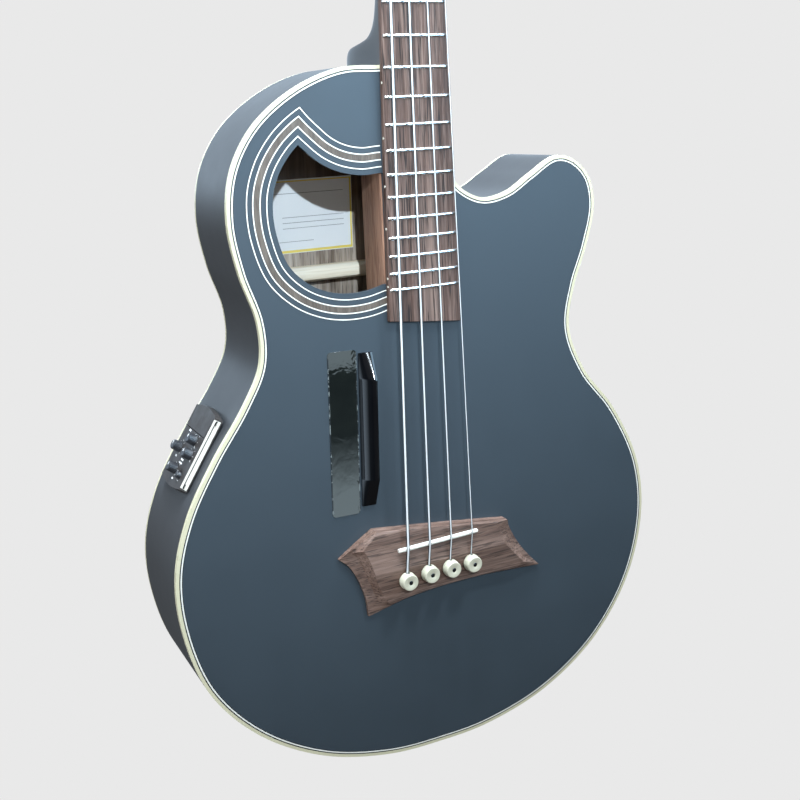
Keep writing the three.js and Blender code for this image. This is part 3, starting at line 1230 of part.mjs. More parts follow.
function addPreamp() {
  const tall = PANEL_HEIGHT * 2;
  const drawerRegion = (grow) => block([-tall, -DRAWER_HALF_DEPTH - grow, DRAWER_SEAM - grow],
    [tall, DRAWER_HALF_DEPTH + grow, PANEL_HALF_LENGTH * 2]);
  const knobs = knobPlaceShares.map(([y, z]) => [y * PANEL_HALF_DEPTH, z * PANEL_HALF_LENGTH]);
  const button = [buttonPlaceShares[0] * PANEL_HALF_DEPTH, buttonPlaceShares[1] * PANEL_HALF_LENGTH];
  const across = (geometry, [y, z]) => geometry.rotateZ(Math.PI / 2).translate(0, y, z);
  const bore = (radius, place) => across(rod(radius + TURN_GAP, -tall, tall, KNOB_SIDES), place);
  const knobHoles = knobs.map((place) => bore(KNOB_SHAFT_RADIUS, place));
  const buttonHole = bore(BUTTON_RADIUS, button);
  const panel = carve([panelForm()], [drawerRegion(0), ...knobHoles, buttonHole]);
  add('preamp_panel', panel, 'panelGrey', preampFrame);

  const hollow = [
    block([-tall, -HOUSING_HALF_DEPTH + HOUSING_WALL, -HOUSING_LOW + HOUSING_WALL],
      [HOUSING_REACH - HOUSING_WALL, HOUSING_HALF_DEPTH - HOUSING_WALL, DRAWER_SEAM - FIT_GAP - BAY_WALL]),
    block([-tall, -bayHalf + BAY_WALL, DRAWER_SEAM - FIT_GAP],
      [bayReach - BAY_WALL, bayHalf - BAY_WALL, bayTop - BAY_WALL]),
  ];
  add('preamp_housing', carve(housingForm(0), hollow), 'rubberBlack', preampFrame);

  const face = common(panelForm(), drawerRegion(-TURN_GAP));
  const trayHalf = bayHalf - BAY_WALL - FIT_GAP;
  const trayEnd = bayReach - BAY_WALL - FIT_GAP;
  const floorBottom = DRAWER_SEAM + TURN_GAP;
  const floor = block(
    [-PANEL_SEAT - PANEL_EDGE, -trayHalf, floorBottom],
    [trayEnd, trayHalf, floorBottom + DRAWER_FLOOR],
  );
  const wallEnd = block(
    [trayEnd - DRAWER_FLOOR, -trayHalf, floorBottom],
    [trayEnd, trayHalf, batteryLow + BATTERY_THICKNESS / 2],
  );
  add('battery_drawer', carve([face, floor, wallEnd]), 'panelGrey', preampFrame);
  const cell = block([FIT_GAP, -BATTERY_WIDTH / 2, batteryLow],
    [FIT_GAP + BATTERY_LENGTH, BATTERY_WIDTH / 2, batteryLow + BATTERY_THICKNESS]);
  add('battery', cell, 'chrome', preampFrame);

  const knobBase = PANEL_HEIGHT + TURN_GAP;
  const knobForm = [
    [0, -KNOB_SHAFT_REACH + PANEL_HEIGHT], [KNOB_SHAFT_RADIUS, -KNOB_SHAFT_REACH + PANEL_HEIGHT],
    [KNOB_SHAFT_RADIUS, knobBase], [KNOB_RADIUS, knobBase],
    [KNOB_TOP_RADIUS, knobBase + KNOB_HEIGHT - KNOB_CHAMFER],
    [KNOB_TOP_RADIUS - KNOB_CHAMFER, knobBase + KNOB_HEIGHT], [0, knobBase + KNOB_HEIGHT],
  ];
  const knobNames = ['knob_volume', 'knob_bass', 'knob_middle', 'knob_treble'];
  knobs.forEach((place, i) => {
    add(knobNames[i], cleaned(across(turned(knobForm, KNOB_SIDES), place)), 'rubberBlack', preampFrame);
  });
  const buttonForm = [
    [0, -KNOB_SHAFT_REACH + PANEL_HEIGHT], [BUTTON_RADIUS, -KNOB_SHAFT_REACH + PANEL_HEIGHT],
    [BUTTON_RADIUS, PANEL_HEIGHT + BUTTON_HEIGHT - BUTTON_CHAMFER],
    [BUTTON_RADIUS - BUTTON_CHAMFER, PANEL_HEIGHT + BUTTON_HEIGHT],
    [0, PANEL_HEIGHT + BUTTON_HEIGHT],
  ];
  add('preamp_button', cleaned(across(turned(buttonForm, KNOB_SIDES), button)), 'rubberBlack', preampFrame);
}

// Strap buttons and the output jack, turned about +Y with the outer face at the high end
function strapButton(shank) {
  return turned([
    [0, -shank], [BUTTON_PIN_SHANK, -shank], [BUTTON_PIN_SHANK, GLUE_GAP], [BUTTON_PIN_FLANGE, GLUE_GAP],
    [BUTTON_PIN_FLANGE, BUTTON_PIN_FOOT], [BUTTON_PIN_WAIST, BUTTON_PIN_WAIST_LOW],
    [BUTTON_PIN_WAIST, BUTTON_PIN_WAIST_HIGH], [BUTTON_PIN_HEAD, BUTTON_PIN_LENGTH - BUTTON_PIN_RIM],
    [BUTTON_PIN_HEAD, BUTTON_PIN_LENGTH - BUTTON_PIN_CHAMFER],
    [BUTTON_PIN_HEAD - BUTTON_PIN_CHAMFER, BUTTON_PIN_LENGTH], [0, BUTTON_PIN_LENGTH],
  ]);
}

function addFittings() {
  const tailPin = strapButton(BUTTON_PIN_SHANK_LENGTH).rotateX(-Math.PI / 2).translate(0, END_PIN_DEPTH, 0);
  add('end_pin', cleaned(tailPin), 'chrome');
  const heelPin = strapButton(BUTTON_PIN_SHANK_LENGTH).rotateZ(-Math.PI / 2)
    .translate(heelButtonX() + FIT_GAP, HEEL_BUTTON_DEPTH, BODY_LENGTH + HEEL_BUTTON_HEIGHT);
  add('strap_button', cleaned(heelPin), 'chrome');
  const low = JACK_BARREL_LENGTH;
  const face = -GLUE_GAP - JACK_FLANGE_THICKNESS;
  const jack = turned([
    [0, JACK_BORE_DEPTH], [JACK_BORE_RADIUS, JACK_BORE_DEPTH], [JACK_BORE_RADIUS, face],
    [JACK_FLANGE_RADIUS - JACK_FLANGE_CHAMFER, face],
    [JACK_FLANGE_RADIUS, face + JACK_FLANGE_CHAMFER], [JACK_FLANGE_RADIUS, -GLUE_GAP],
    [JACK_BARREL_RADIUS, -GLUE_GAP], [JACK_BARREL_RADIUS, low], [0, low],
  ]).rotateX(Math.PI / 2).translate(0, JACK_DEPTH, 0);
  add('output_jack', cleaned(jack), 'chrome');
}

addBody();
addBlocks();
addBraces();
addLabel();
addFingerboard();
addNut();
addNeck();
addTrussRod();
addBridge();
addPins();
addStrings();
addTuners();
addThumbRest();
addPreamp();
addFittings();

export default instrument;
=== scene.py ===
"""Looks of the acoustic bass guitar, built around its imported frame."""
import math

import bmesh
import bpy
from mathutils import Matrix, Vector
from mathutils.geometry import tessellate_polygon


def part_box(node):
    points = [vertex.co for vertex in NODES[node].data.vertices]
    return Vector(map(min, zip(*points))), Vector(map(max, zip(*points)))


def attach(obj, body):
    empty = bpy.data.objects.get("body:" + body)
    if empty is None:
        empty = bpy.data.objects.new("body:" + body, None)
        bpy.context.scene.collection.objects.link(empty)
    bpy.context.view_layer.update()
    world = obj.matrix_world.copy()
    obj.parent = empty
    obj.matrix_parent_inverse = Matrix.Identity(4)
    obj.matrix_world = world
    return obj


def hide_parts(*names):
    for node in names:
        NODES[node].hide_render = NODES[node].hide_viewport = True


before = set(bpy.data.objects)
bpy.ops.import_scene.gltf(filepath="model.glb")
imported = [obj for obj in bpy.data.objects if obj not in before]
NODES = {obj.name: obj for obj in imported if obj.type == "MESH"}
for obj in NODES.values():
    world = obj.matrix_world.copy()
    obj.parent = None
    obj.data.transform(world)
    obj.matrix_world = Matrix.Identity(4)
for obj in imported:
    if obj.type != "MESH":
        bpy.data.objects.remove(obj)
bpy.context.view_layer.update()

# Sizes in millimetres, as in the part's source
MM = 0.001
FRONT_Y = -40.0
TAIL_Z = 14.0
SCALE_LENGTH = 863.6
SADDLE_TO_TAIL = 197.5
BODY_LENGTH = 584.5
BODY_HALF_WIDTH = 225.5
TAIL_DEPTH = 106.9
SHOULDER_DEPTH = 75.2
PLATE_THICKNESS = 3.0
BINDING_WIDTH = 2.7
RIM_THICKNESS = 2.4
TOP_BINDING_DEPTH = 4.6
BACK_BINDING_DEPTH = 2.6
RIM_GAP = 0.05
NECK_CORNER_SHARE = 0.125
HOLE_WIDTH_SHARE = 0.3947
HOLE_HEIGHT = 113.0
HOLE_LOW_DROP = 170.0
HOLE_RIGHT_X = -33.0
RING_RIGHT_X = -31.2
RING_LINES = (4.7, 9.9, 15.6, 20.4)
LINE_HALF_WIDTH = 0.46
LINE_EDGE_HALF_WIDTH = 0.95
UNDER_BOARD_X = -30.5
BRACE_HEIGHT = 12.4
BRACE_WIDTH = 13.0
BRACE_SCOOP = 34.0
BRACE_END_SHARE = 0.28
LABEL_BOX = (-112.0, 440.0, -23.2, 500.5)
FRET_COUNT = 24
NUT_WIDTH = 39.5
LAST_FRET_WIDTH = 64.6
BOARD_TOP = -5.1
BOARD_RADIUS = 400.0
BOARD_OVERHANG_BASS = 24.6
BOARD_OVERHANG_TREBLE = 31.6
FRET_HEIGHT = 1.1
NUT_FRONT_Z = SADDLE_TO_TAIL + SCALE_LENGTH
NUT_BACK_Z = NUT_FRONT_Z + 5.4
HEEL_LENGTH = 62.0
HEEL_DEPTH = 74.2
SHAFT_DEPTH_HEEL = 18.4
SHAFT_DEPTH_NUT = 16.0
SHAFT_SQUARENESS = 2.1
HEEL_SQUARENESS = 4.3
HEAD_ANGLE = 9
HEAD_LENGTH = 208.0
HEAD_HALF_WIDTH = 42.0
HEAD_THICKNESS = 15.0
HEAD_THROAT = 16.0
ROD_POCKET = ((-6, -5, -5), (6, 9.4, 28))
COVER_HALF_WIDTH = 13.0
COVER_LENGTH = 46.0
BRIDGE_SPAN = 195.0
BRIDGE_DROP = 76.5
BRIDGE_HEIGHT = 10.8
BRIDGE_SLOPE_START = 18.0
BRIDGE_SLOPE_END = 45.0
BRIDGE_REAR_HEIGHT = 6.6
SADDLE_RISE = 14.0
SADDLE_HALF_LENGTH = 38.0
SADDLE_HALF_WIDTH = 1.5
SADDLE_X = -0.5
SADDLE_SHIFT = 0.45
SADDLE_SLANT = 2.1
STRING_SPACING = 20.7
NUT_SPACING = 10.2
PIN_RADIUS = 7.6
PIN_HEIGHT = 7.8
PIN_SHANK = 2.9
PIN_DROPS = (28.8, 26.8, 26.8, 26.8)
STRINGS = {"e": 2.67, "a": 2.16, "d": 1.65, "g": 1.14}
TUNER_X = 24.0
TUNER_BORE_RADIUS = 5.35
TUNERS = {"e": (-1, 66.0), "a": (-1, 146.0), "d": (1, 146.0), "g": (1, 66.0)}
POST_RADIUS = 5.0
WRAP_START = 5.4
WRAP_GAP = 0.55
WRAP_STEP_GAP = 0.5
PANEL_HALF_DEPTH = 29.0
PANEL_HALF_LENGTH = 30.5
PANEL_BULGE = 4.6
PANEL_EDGE = 1.9
PANEL_HEIGHT = 6.5
PANEL_BEVEL = 4.2
DRAWER_SEAM = 12.4
DRAWER_HALF_DEPTH = 22.8
DRAWER_GAP = 0.35
HOUSING_OPENING = ((-9, -26.8, -27.5), (40, 26.8, DRAWER_SEAM))
BATTERY_OPENING = ((-9, -15.2, 11.0), (60, 15.2, 32.6))

# Outline points as shares, as in the part's source
BODY_SHARES = [
    (-0.129, 1), (-0.275, 0.998), (-0.4415, 0.9745), (-0.59, 0.9316), (-0.676, 0.8777),
    (-0.7015, 0.816), (-0.676, 0.7494), (-0.626, 0.6843), (-0.6295, 0.6292), (-0.7006, 0.5762),
    (-0.8195, 0.512), (-0.927, 0.4404), (-0.986, 0.3656), (-0.983, 0.2837), (-0.9095, 0.1855),
    (-0.7393, 0.1006), (-0.4918, 0.037), (-0.2213, 0.0058), (0, 0), (0.222, 0.0038),
    (0.501, 0.033), (0.7525, 0.0956), (0.927, 0.187), (1, 0.294), (0.9734, 0.3867),
    (0.8515, 0.4806), (0.7056, 0.5512), (0.6355, 0.619), (0.6608, 0.6802), (0.7175, 0.7376),
    (0.7534, 0.797), (0.7273, 0.8392), (0.654, 0.865), (0.5765, 0.87), (0.4657, 0.848),
    (0.365, 0.826), (0.266, 0.82), (0.191, 0.831), (0.146, 0.847), (0.132, 0.87),
]
HOLE_LOWER_SHARES = [
    (0, 0.035), (0.19, 0.003), (0.4, 0.003), (0.584, 0.04), (0.753, 0.115), (0.9, 0.24),
    (0.983, 0.434), (1.003, 0.58), (0.987, 0.714), (0.932, 0.83), (0.874, 0.904), (0.796, 0.977),
    (0.7404, 1.016),
]
HOLE_UPPER_SHARES = [
    (0.7404, 1.016), (0.62, 0.93), (0.54, 0.885), (0.44, 0.844), (0.32, 0.812), (0.16, 0.793),
    (0, 0.8),
]
HEAD_SHARES = [
    (0.475, 0), (0.49, 0.04), (0.6, 0.12), (0.84, 0.185), (0.91, 0.26), (0.87, 0.42),
    (0.88, 0.6), (0.95, 0.78), (1, 0.9), (0.9, 0.965), (0.55, 0.985), (0, 1),
]
COVER_SHARES = [(-1, 0), (1, 0), (0.9, 0.45), (0.45, 0.8), (0, 1), (-0.45, 0.8), (-0.9, 0.45)]
HEEL_SHARES = [
    (0, 1, 1), (0.13, 0.994, 1), (0.2, 0.964, 0.95), (0.24, 0.91, 0.9), (0.27, 0.77, 0.85),
    (0.3, 0.59, 0.75), (0.34, 0.45, 0.55), (0.41, 0.37, 0.35), (0.52, 0.31, 0.2),
    (0.72, 0.27, 0.08),
]
LEAF_SHARES = [
    (0.05, 0.3), (0.2, 0.62), (0.42, 0.62), (0.5, 0.78), (0.66, 1), (0.9, 0.86), (0.95, 0.5),
    (1, 0.2),
]
BRIDGE_SHARES = [
    (-0.292, 0.261, 0.93, -0.29, 0.257, 0.97, -0.283, 0.244, 1),
    (0.051, 0.153, 0.93, 0.051, 0.148, 0.97, 0.051, 0.137, 1),
    (0.359, 0.046, 0.85, 0.332, 0.044, 0.93, 0.29, 0.05, 1),
    (0.374, -0.052, 0.62, 0.349, -0.065, 0.82, 0.31, -0.1, 1),
    (0.405, -0.203, 0.5, 0.385, -0.222, 0.65, 0.338, -0.222, 1),
    (0.444, -0.353, 0.42, 0.421, -0.373, 0.52, 0.362, -0.32, 1),
    (0.49, -0.497, 0.35, 0.462, -0.497, 0.42, 0.4, -0.444, 0.92),
    (0.546, -0.647, 0.26, 0.518, -0.608, 0.32, 0.441, -0.529, 0.7),
    (0.4, -0.612, 0.38, 0.4, -0.595, 0.5, 0.38, -0.56, 0.8),
    (0.231, -0.586, 0.42, 0.231, -0.573, 0.55, 0.231, -0.555, 0.8),
    (0.026, -0.591, 0.42, 0.026, -0.578, 0.55, 0.026, -0.56, 0.8),
    (-0.154, -0.635, 0.38, -0.154, -0.617, 0.5, -0.154, -0.595, 0.8),
    (-0.246, -0.688, 0.32, -0.236, -0.661, 0.42, -0.222, -0.61, 0.75),
    (-0.331, -0.742, 0.24, -0.287, -0.588, 0.36, -0.256, -0.5, 0.75),
    (-0.338, -0.549, 0.26, -0.31, -0.431, 0.38, -0.282, -0.392, 0.9),
    (-0.359, -0.366, 0.26, -0.331, -0.288, 0.39, -0.3, -0.288, 1),
    (-0.385, -0.209, 0.26, -0.354, -0.131, 0.39, -0.321, -0.118, 1),
    (-0.415, -0.092, 0.26, -0.379, 0, 0.39, -0.341, 0.013, 1),
    (-0.454, 0, 0.24, -0.405, 0.052, 0.38, -0.356, 0.078, 1),
    (-0.372, 0.139, 0.62, -0.364, 0.125, 0.76, -0.346, 0.111, 1),
]
BRIDGE_CORNERS = [0, 2, 7, 13, 18, 19]
KNOB_SHARES = {
    "volume": (-0.31, 0.223), "bass": (0.486, -0.164), "middle": (-0.49, -0.141),
    "treble": (0.062, -0.675),
}
BUTTON_SHARES = (-0.452, -0.734)


def move(x, y, z):
    return Matrix.Translation((x, y, z))


def spin(degrees, axis):
    return Matrix.Rotation(math.radians(degrees), 4, axis)


# Turned frames of the part: body, headstock, thumb rest and the wall behind the preamp
BODY = move(0, FRONT_Y, TAIL_Z)
HEAD = BODY @ move(0, 0, NUT_BACK_Z) @ spin(-HEAD_ANGLE, "X")
REST = BODY @ move(-55.9, 0, 302.5) @ spin(1.65, "Y")
PREAMP = BODY @ move(-185.612, 46.0, 297.978) @ Matrix.Rotation(math.asin(0.547086), 4, "Y")


# --- curves


def arc(angle, steps):
    """Directions along an arc, as pairs of cosine and sine."""
    turns = [angle * k / steps for k in range(steps + 1)]
    return [(math.cos(t), math.sin(t)) for t in turns]


def circle(count):
    return arc(2 * math.pi, count)[:-1]


def spread(low, high, steps):
    return [low + (high - low) * k / steps for k in range(steps + 1)]


def catmull(knots, samples):
    """Centripetal curve through the knots, sampled evenly between each two."""
    pts = [Vector(k) for k in knots]
    ends = [2 * pts[0] - pts[1]] + pts + [2 * pts[-1] - pts[-2]]
    out = []
    for a, b, c, d in zip(ends, ends[1:], ends[2:], ends[3:]):
        t0, t1, t2 = (max((q - p).length, 1e-6) ** 0.5 for p, q in ((a, b), (b, c), (c, d)))
        m1 = ((b - a) / t0 - (c - a) / (t0 + t1) + (c - b) / t1) * t1
        m2 = ((c - b) / t1 - (d - b) / (t1 + t2) + (d - c) / t2) * t1
        square, cube = -3 * b + 3 * c - 2 * m1 - m2, 2 * b - 2 * c + m1 + m2
        for k in range(samples):
            u = k / samples
            out.append(b + m1 * u + square * u**2 + cube * u**3)
    out.append(pts[-1])
    return [tuple(p) for p in out]


def scaled(shares, width, height):
    return [(x * width, z * height) for x, z in shares]


def area(ring):
    return sum(a[0] * b[1] - b[0] * a[1] for a, b in zip(ring, ring[1:] + ring[:1])) / 2


def offset(points, distance, closed=True):
    """Moves a line's points to the right of its direction, mitred at corners."""
    moved = []
    count = len(points)
    for i, (x, z) in enumerate(points):
        xb, zb = points[i - 1] if closed or i else (x, z)
        xa, za = points[(i + 1) % count] if closed or i + 1 < count else (x, z)
        before = Vector((x - xb, z - zb))
        after = Vector((xa - x, za - z))
        before = before.normalized() if before.length > 1e-9 else after.normalized()
        after = after.normalized() if after.length > 1e-9 else before
        middle = (before + after).normalized()
        reach = distance / max(before.dot(middle), 0.2)
        moved.append((x + middle.y * reach, z - middle.x * reach))
    return moved


def inset(ring, distance):
    return offset(ring, -distance if area(ring) > 0 else distance)


# --- forms, each a list of points and a list of faces


def flat_cap(rings):
    """Triangles that fill a ring and leave its holes open."""
    return tessellate_polygon([[Vector((x, z, 0)) for x, z in ring] for ring in rings])


def wall(start, count, lift):
    """Quads from one ring of points to the next, which lies some indices further."""
    for i in range(count):
        a, b = start + i, start + (i + 1) % count
        yield a, b, b + lift, a + lift


def prism_form(ring, front, back, holes=()):
    """A solid between two faces, each flat at a depth or given by a rule of height."""
    rings = [list(ring), *map(list, holes)]
    flat = [p for r in rings for p in r]
    count = len(flat)
    points = [(x, f(z) if callable(f) else f, z) for f in (front, back) for x, z in flat]
    faces = []
    for p, q, r in flat_cap(rings):
        faces += [(p, q, r), (r + count, q + count, p + count)]
    start = 0
    for r in rings:
        faces += wall(start, len(r), count)
        start += len(r)
    return points, faces


def loft_form(rings, closed_ends=True):
    """A skin over rings with the same count of points."""
    count = len(rings[0])
    points = [p for ring in rings for p in ring]
    faces = []
    for k in range(len(rings) - 1):
        faces += wall(k * count, count, count)
    if closed_ends:
        last = (len(rings) - 1) * count
        faces += [tuple(range(count)), tuple(range(last + count - 1, last - 1, -1))]
    return points, faces


def capped_loft(rings):
    """A loft whose first and last ring may be hollow-sided."""
    points, faces = loft_form(rings, closed_ends=False)
    for ring, start in ((rings[0], 0), (rings[-1], len(points) - len(rings[-1]))):
        spans = [[(x, z) for x, y, z in ring]]
        faces += [tuple(i + start for i in face) for face in flat_cap(spans)]
    return points, faces


def lathe_form(profile, sides=48):
    """A solid of revolution about Y from (radius, y) pairs that start and end on the axis."""
    rings = []
    points = []
    for r, y in profile:
        ring = circle(sides) if r > 1e-6 else [(0, 0)]
        rings.append(range(len(points), len(points) + len(ring)))
        points += [(r * c, y, r * s) for c, s in ring]
    faces = []
    for one, two in zip(rings, rings[1:]):
        for i in range(sides):
            j = (i + 1) % sides
            ends = (one, i), (one, j), (two, j), (two, i)
            unique = list(dict.fromkeys(ring[k % len(ring)] for ring, k in ends))
            if len(unique) > 2:
                faces.append(tuple(unique))
    return points, faces


def bore_form(radius, low, high, sides):
    return lathe_form([(0, low), (radius, low), (radius, high), (0, high)], sides)


def tube_form(path, radius, sides):
    """A round wire along a path, without twist."""
    places = [Vector(p) for p in path]
    side = Vector((1, 0, 0))
    rings = []
    for i, place in enumerate(places):
        forward = (places[min(i + 1, len(places) - 1)] - places[max(i - 1, 0)]).normalized()
        side = (side - forward * side.dot(forward)).normalized()
        across = forward.cross(side)
        rings.append([tuple(place + (side * c + across * s) * radius) for c, s in circle(sides)])
    return loft_form(rings)


def box_form(low, high):
    ring = [(low[0], low[2]), (high[0], low[2]), (high[0], high[2]), (low[0], high[2])]
    return prism_form(ring, low[1], high[1])


def placed(form, matrix):
    points, faces = form
    return [tuple(matrix @ Vector(p)) for p in points], faces


def joined(*forms):
    points, faces = [], []
    for more, sides in forms:
        start = len(points)
        points += more
        faces += [tuple(i + start for i in f) for f in sides]
    return points, faces


# --- pieces


def add_object(name, data):
    made = bpy.data.objects.new(name, data)
    bpy.context.scene.collection.objects.link(made)
    return made


def solid(name, form, at, smooth):
    """A mesh object from a form in millimetres in a frame."""
    mesh = bpy.data.meshes.new(name)
    mesh.from_pydata([at @ Vector(p) * MM for p in form[0]], [], form[1])
    mesh.validate()
    work = bmesh.new()
    work.from_mesh(mesh)
    bmesh.ops.remove_doubles(work, verts=work.verts, dist=1e-6)
    bmesh.ops.recalc_face_normals(work, faces=work.faces)
    work.to_mesh(mesh)
    work.free()
    smooth_mesh(mesh, smooth)
    return add_object(name, mesh)


def smooth_mesh(mesh, angle):
    """Smooths all but the edges that are sharper than an angle in degrees."""
    for polygon in mesh.polygons:
        polygon.use_smooth = angle > 0
    if angle > 0:
        mesh.set_sharp_from_angle(angle=math.radians(angle))


def make(name, form, material, stands_for=None, body="instrument", at=BODY, smooth=35):
    """A piece that rides on a body and may stand for a node."""
    piece = solid(name, form, at, smooth)
    piece.data.materials.append(material)
    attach(piece, body)
    if stands_for:
        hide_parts(stands_for)
    return piece


def soften(piece, width, segments=2, angle=35):
    """Bevels the edges that are sharper than an angle in degrees."""
    bevel = piece.modifiers.new("edges", "BEVEL")
    bevel.width = width * MM
    bevel.segments = segments
    bevel.limit_method = "ANGLE"
    bevel.angle_limit = math.radians(angle)
    bevel.harden_normals = True
    return bevel


def cut(piece, forms, at=BODY):
    """Takes closed forms away from a piece for good."""
    for form in forms:
        tool = solid("cutter", form, at, 0)
        step = piece.modifiers.new("cut", "BOOLEAN")
        step.operation = "DIFFERENCE"
        step.solver = "EXACT"
        step.object = tool
        bpy.context.view_layer.update()
        seen = piece.evaluated_get(bpy.context.evaluated_depsgraph_get())
        mesh = bpy.data.meshes.new_from_object(seen)
        piece.modifiers.remove(step)
        piece.data = mesh
        bpy.data.objects.remove(tool)
    smooth_mesh(piece.data, 35)


# --- materials


class Nodes:
    """A node tree under construction."""

    def __init__(self, tree):
        self.tree = tree

    def put(self, value, socket):
        """Links a socket to another, or sets its number, vector or colour."""
        if hasattr(value, "is_linked"):
            self.tree.links.new(value, socket)
        elif socket.type == "RGBA" and len(value) == 3:
            socket.default_value = (*value, 1)
        else:
            socket.default_value = value

    def node(self, kind, **values):
        made = self.tree.nodes.new(kind)
        for key, value in values.items():
            name = key.replace("_", " ")
            if name in made.inputs:
                self.put(value, made.inputs[name])
            else:
                setattr(made, key, value)
        return made

    def ramp(self, value, stops):
        made = self.node("ShaderNodeValToRGB", Fac=value)
        elements = made.color_ramp.elements
        while len(elements) < len(stops):
            elements.new(0.5)
        for element, (at, colour) in zip(elements, stops):
            element.position = at
            element.color = (*(colour if hasattr(colour, "__len__") else (colour,) * 3), 1)
        return made.outputs["Color"]

    def split(self, vector, axis):
        return self.node("ShaderNodeSeparateXYZ", Vector=vector).outputs[axis]

    def span(self, value, low, high):
        """A value's share of the way from low to high."""
        made = self.node("ShaderNodeMapRange", Value=value, From_Min=low, From_Max=high)
        return made.outputs["Result"]

    def mix(self, share, one, two, blend="MIX"):
        made = self.node("ShaderNodeMix", data_type="RGBA", blend_type=blend)
        for value, index in ((share, 0), (one, 6), (two, 7)):
            self.put(value, made.inputs[index])
        return made.outputs[2]

    def maths(self, operation, one, two):
        made = self.node("ShaderNodeMath", operation=operation)
        self.put(one, made.inputs[0])
        self.put(two, made.inputs[1])
        return made.outputs[0]


class Shader(Nodes):
    """A surface material, whose coordinates are metres on the part."""

    def __init__(self, name, **settings):
        self.material = bpy.data.materials.new(name)
        self.material.use_nodes = True
        super().__init__(self.material.node_tree)
        self.bsdf = self.tree.nodes["Principled BSDF"]
        self.coordinates = self.node("ShaderNodeTexCoord").outputs
        self.place = self.coordinates["Object"]
        for key, value in settings.items():
            self.put(value, self.bsdf.inputs[key.replace("_", " ")])

    def link(self, source, target):
        self.put(source, self.bsdf.inputs[target])

    def stretched(self, scale, turn=0.0):
        made = self.node(
            "ShaderNodeMapping", Vector=self.place, Scale=scale, Rotation=(0, turn, 0)
        )
        return made.outputs["Vector"]

    def noise(self, scale, detail, roughness=0.55, distortion=0.0, place=None):
        made = self.node(
            "ShaderNodeTexNoise", Vector=place or self.place, Scale=scale, Detail=detail,
            Roughness=roughness, Distortion=distortion,
        )
        return made.outputs["Fac"]

    def bump(self, height, distance, strength):
        made = self.node("ShaderNodeBump", Height=height, Distance=distance, Strength=strength)
        self.link(made.outputs["Normal"], "Normal")
        return self.material


def satin(name, colour, other, roughness, level=0.5):
    """Satin lacquer: faint cloudiness, an uneven sheen and a fine sprayed texture."""
    s = Shader(name, Specular_IOR_Level=level)
    s.link(s.mix(s.noise(9.0, 3.0), colour, other), "Base Color")
    sheen = [(0.3, roughness - 0.035), (0.7, roughness + 0.035)]
    s.link(s.ramp(s.noise(26.0, 5.0, 0.6), sheen), "Roughness")
    return s.bump(s.noise(900.0, 2.0, 0.6), 0.00002, 0.6)


def wood(name, tones, along, fine, length, roughness, relief=0.00006, pores=0.5, turn=0.0,
         painted_shade=None):
    """Open wood: long streaks of three tones, dark pores and a brushed surface.

    A painted shade darkens the wood between two heights and above them, standing for the shade where
    little light reaches.
    """
    s = Shader(name, Specular_IOR_Level=0.35)
    grain = s.stretched((length, 1, 1) if along == "X" else (1, 1, length), turn)
    wide = s.noise(fine * 0.18, 4.0, 0.55, 0.6, grain)
    narrow = s.noise(fine, 5.0, 0.65, 0.3, grain)
    base = s.ramp(wide, list(zip((0.32, 0.5, 0.68), tones)))
    streak = s.ramp(narrow, list(zip((0.36, 0.5, 0.66), tones)))
    mixed = s.mix(0.55, base, streak)
    pore = s.ramp(s.noise(fine * 2.4, 2.0, 0.5, 0.0, grain), [(0.36, 1.0), (0.46, 0.0)])
    # Painted shade: above a height the wood is multiplied by a dark warm brown, for the shade where
    # little light reaches.
    if painted_shade:
        share = s.span(s.split(s.place, "Z"), *painted_shade)
        mixed = s.mix(share, mixed, s.mix(1.0, mixed, (0.26, 0.2, 0.15), "MULTIPLY"))
    pit = s.maths("MULTIPLY", pore, pores)
    s.link(s.mix(pit, mixed, [c * 0.35 for c in tones[0]]), "Base Color")
    s.link(s.ramp(narrow, [(0.3, roughness + 0.1), (0.7, roughness - 0.08)]), "Roughness")
    return s.bump(s.maths("SUBTRACT", narrow, pit), relief, 0.8)


def plastic(name, colour, roughness, variation=0.12, relief=0.00001, scale=300.0, level=0.5):
    """Moulded plastic, bone or paint with a faint change of tone and gloss."""
    s = Shader(name, Specular_IOR_Level=level)
    other = [min(c * (1 + variation) + 0.002, 1) for c in colour]
    s.link(s.mix(s.noise(40.0, 4.0), colour, other), "Base Color")
    gap = max(roughness * 0.25, 0.015)
    gloss = [(0.3, max(roughness - gap, 0.01)), (0.7, roughness + gap)]
    s.link(s.ramp(s.noise(70.0, 5.0, 0.65), gloss), "Roughness")
    return s.bump(s.noise(scale, 3.0), relief, 0.5)


def metal(name, colour, roughness, brushed=(1, 1, 1)):
    """Plain or brushed metal."""
    s = Shader(name, Metallic=1.0)
    marks = s.noise(420.0, 4.0, 0.6, 0.0, s.stretched(brushed))
    s.link(s.mix(marks, [c * 0.86 for c in colour], colour), "Base Color")
    s.link(s.ramp(marks, [(0.3, roughness * 0.8), (0.7, roughness * 1.3)]), "Roughness")
    return s.bump(marks, 0.000005, 0.5)


def string_material():
    """Wound steel, with a painted highlight where the surface faces front left and painted shade, near
    black, on its flanks.
    """
    s = Shader("string_steel", Metallic=0.15, Specular_IOR_Level=0.2)
    winding = s.noise(420.0, 4.0, 0.6, 0.0, s.stretched((1, 1, 6.0)))
    bright = s.mix(winding, (0.72, 0.74, 0.76), (0.86, 0.88, 0.9))
    # Painted highlight and painted shade: bright steel where the normal faces front left, near black on
    # the flanks.
    front_facing = s.node("ShaderNodeVectorMath", operation="DOT_PRODUCT")
    s.put(s.coordinates["Normal"], front_facing.inputs[0])
    s.put((-0.45, -0.893, 0.0), front_facing.inputs[1])
    painted_highlight = s.ramp(front_facing.outputs["Value"], [(0.75, 0.0), (0.93, 1.0)])
    s.link(s.mix(painted_highlight, (0.05, 0.056, 0.062), bright), "Base Color")
    s.link(s.ramp(winding, [(0.3, 0.26), (0.7, 0.42)]), "Roughness")
    return s.bump(winding, 0.000005, 0.5)


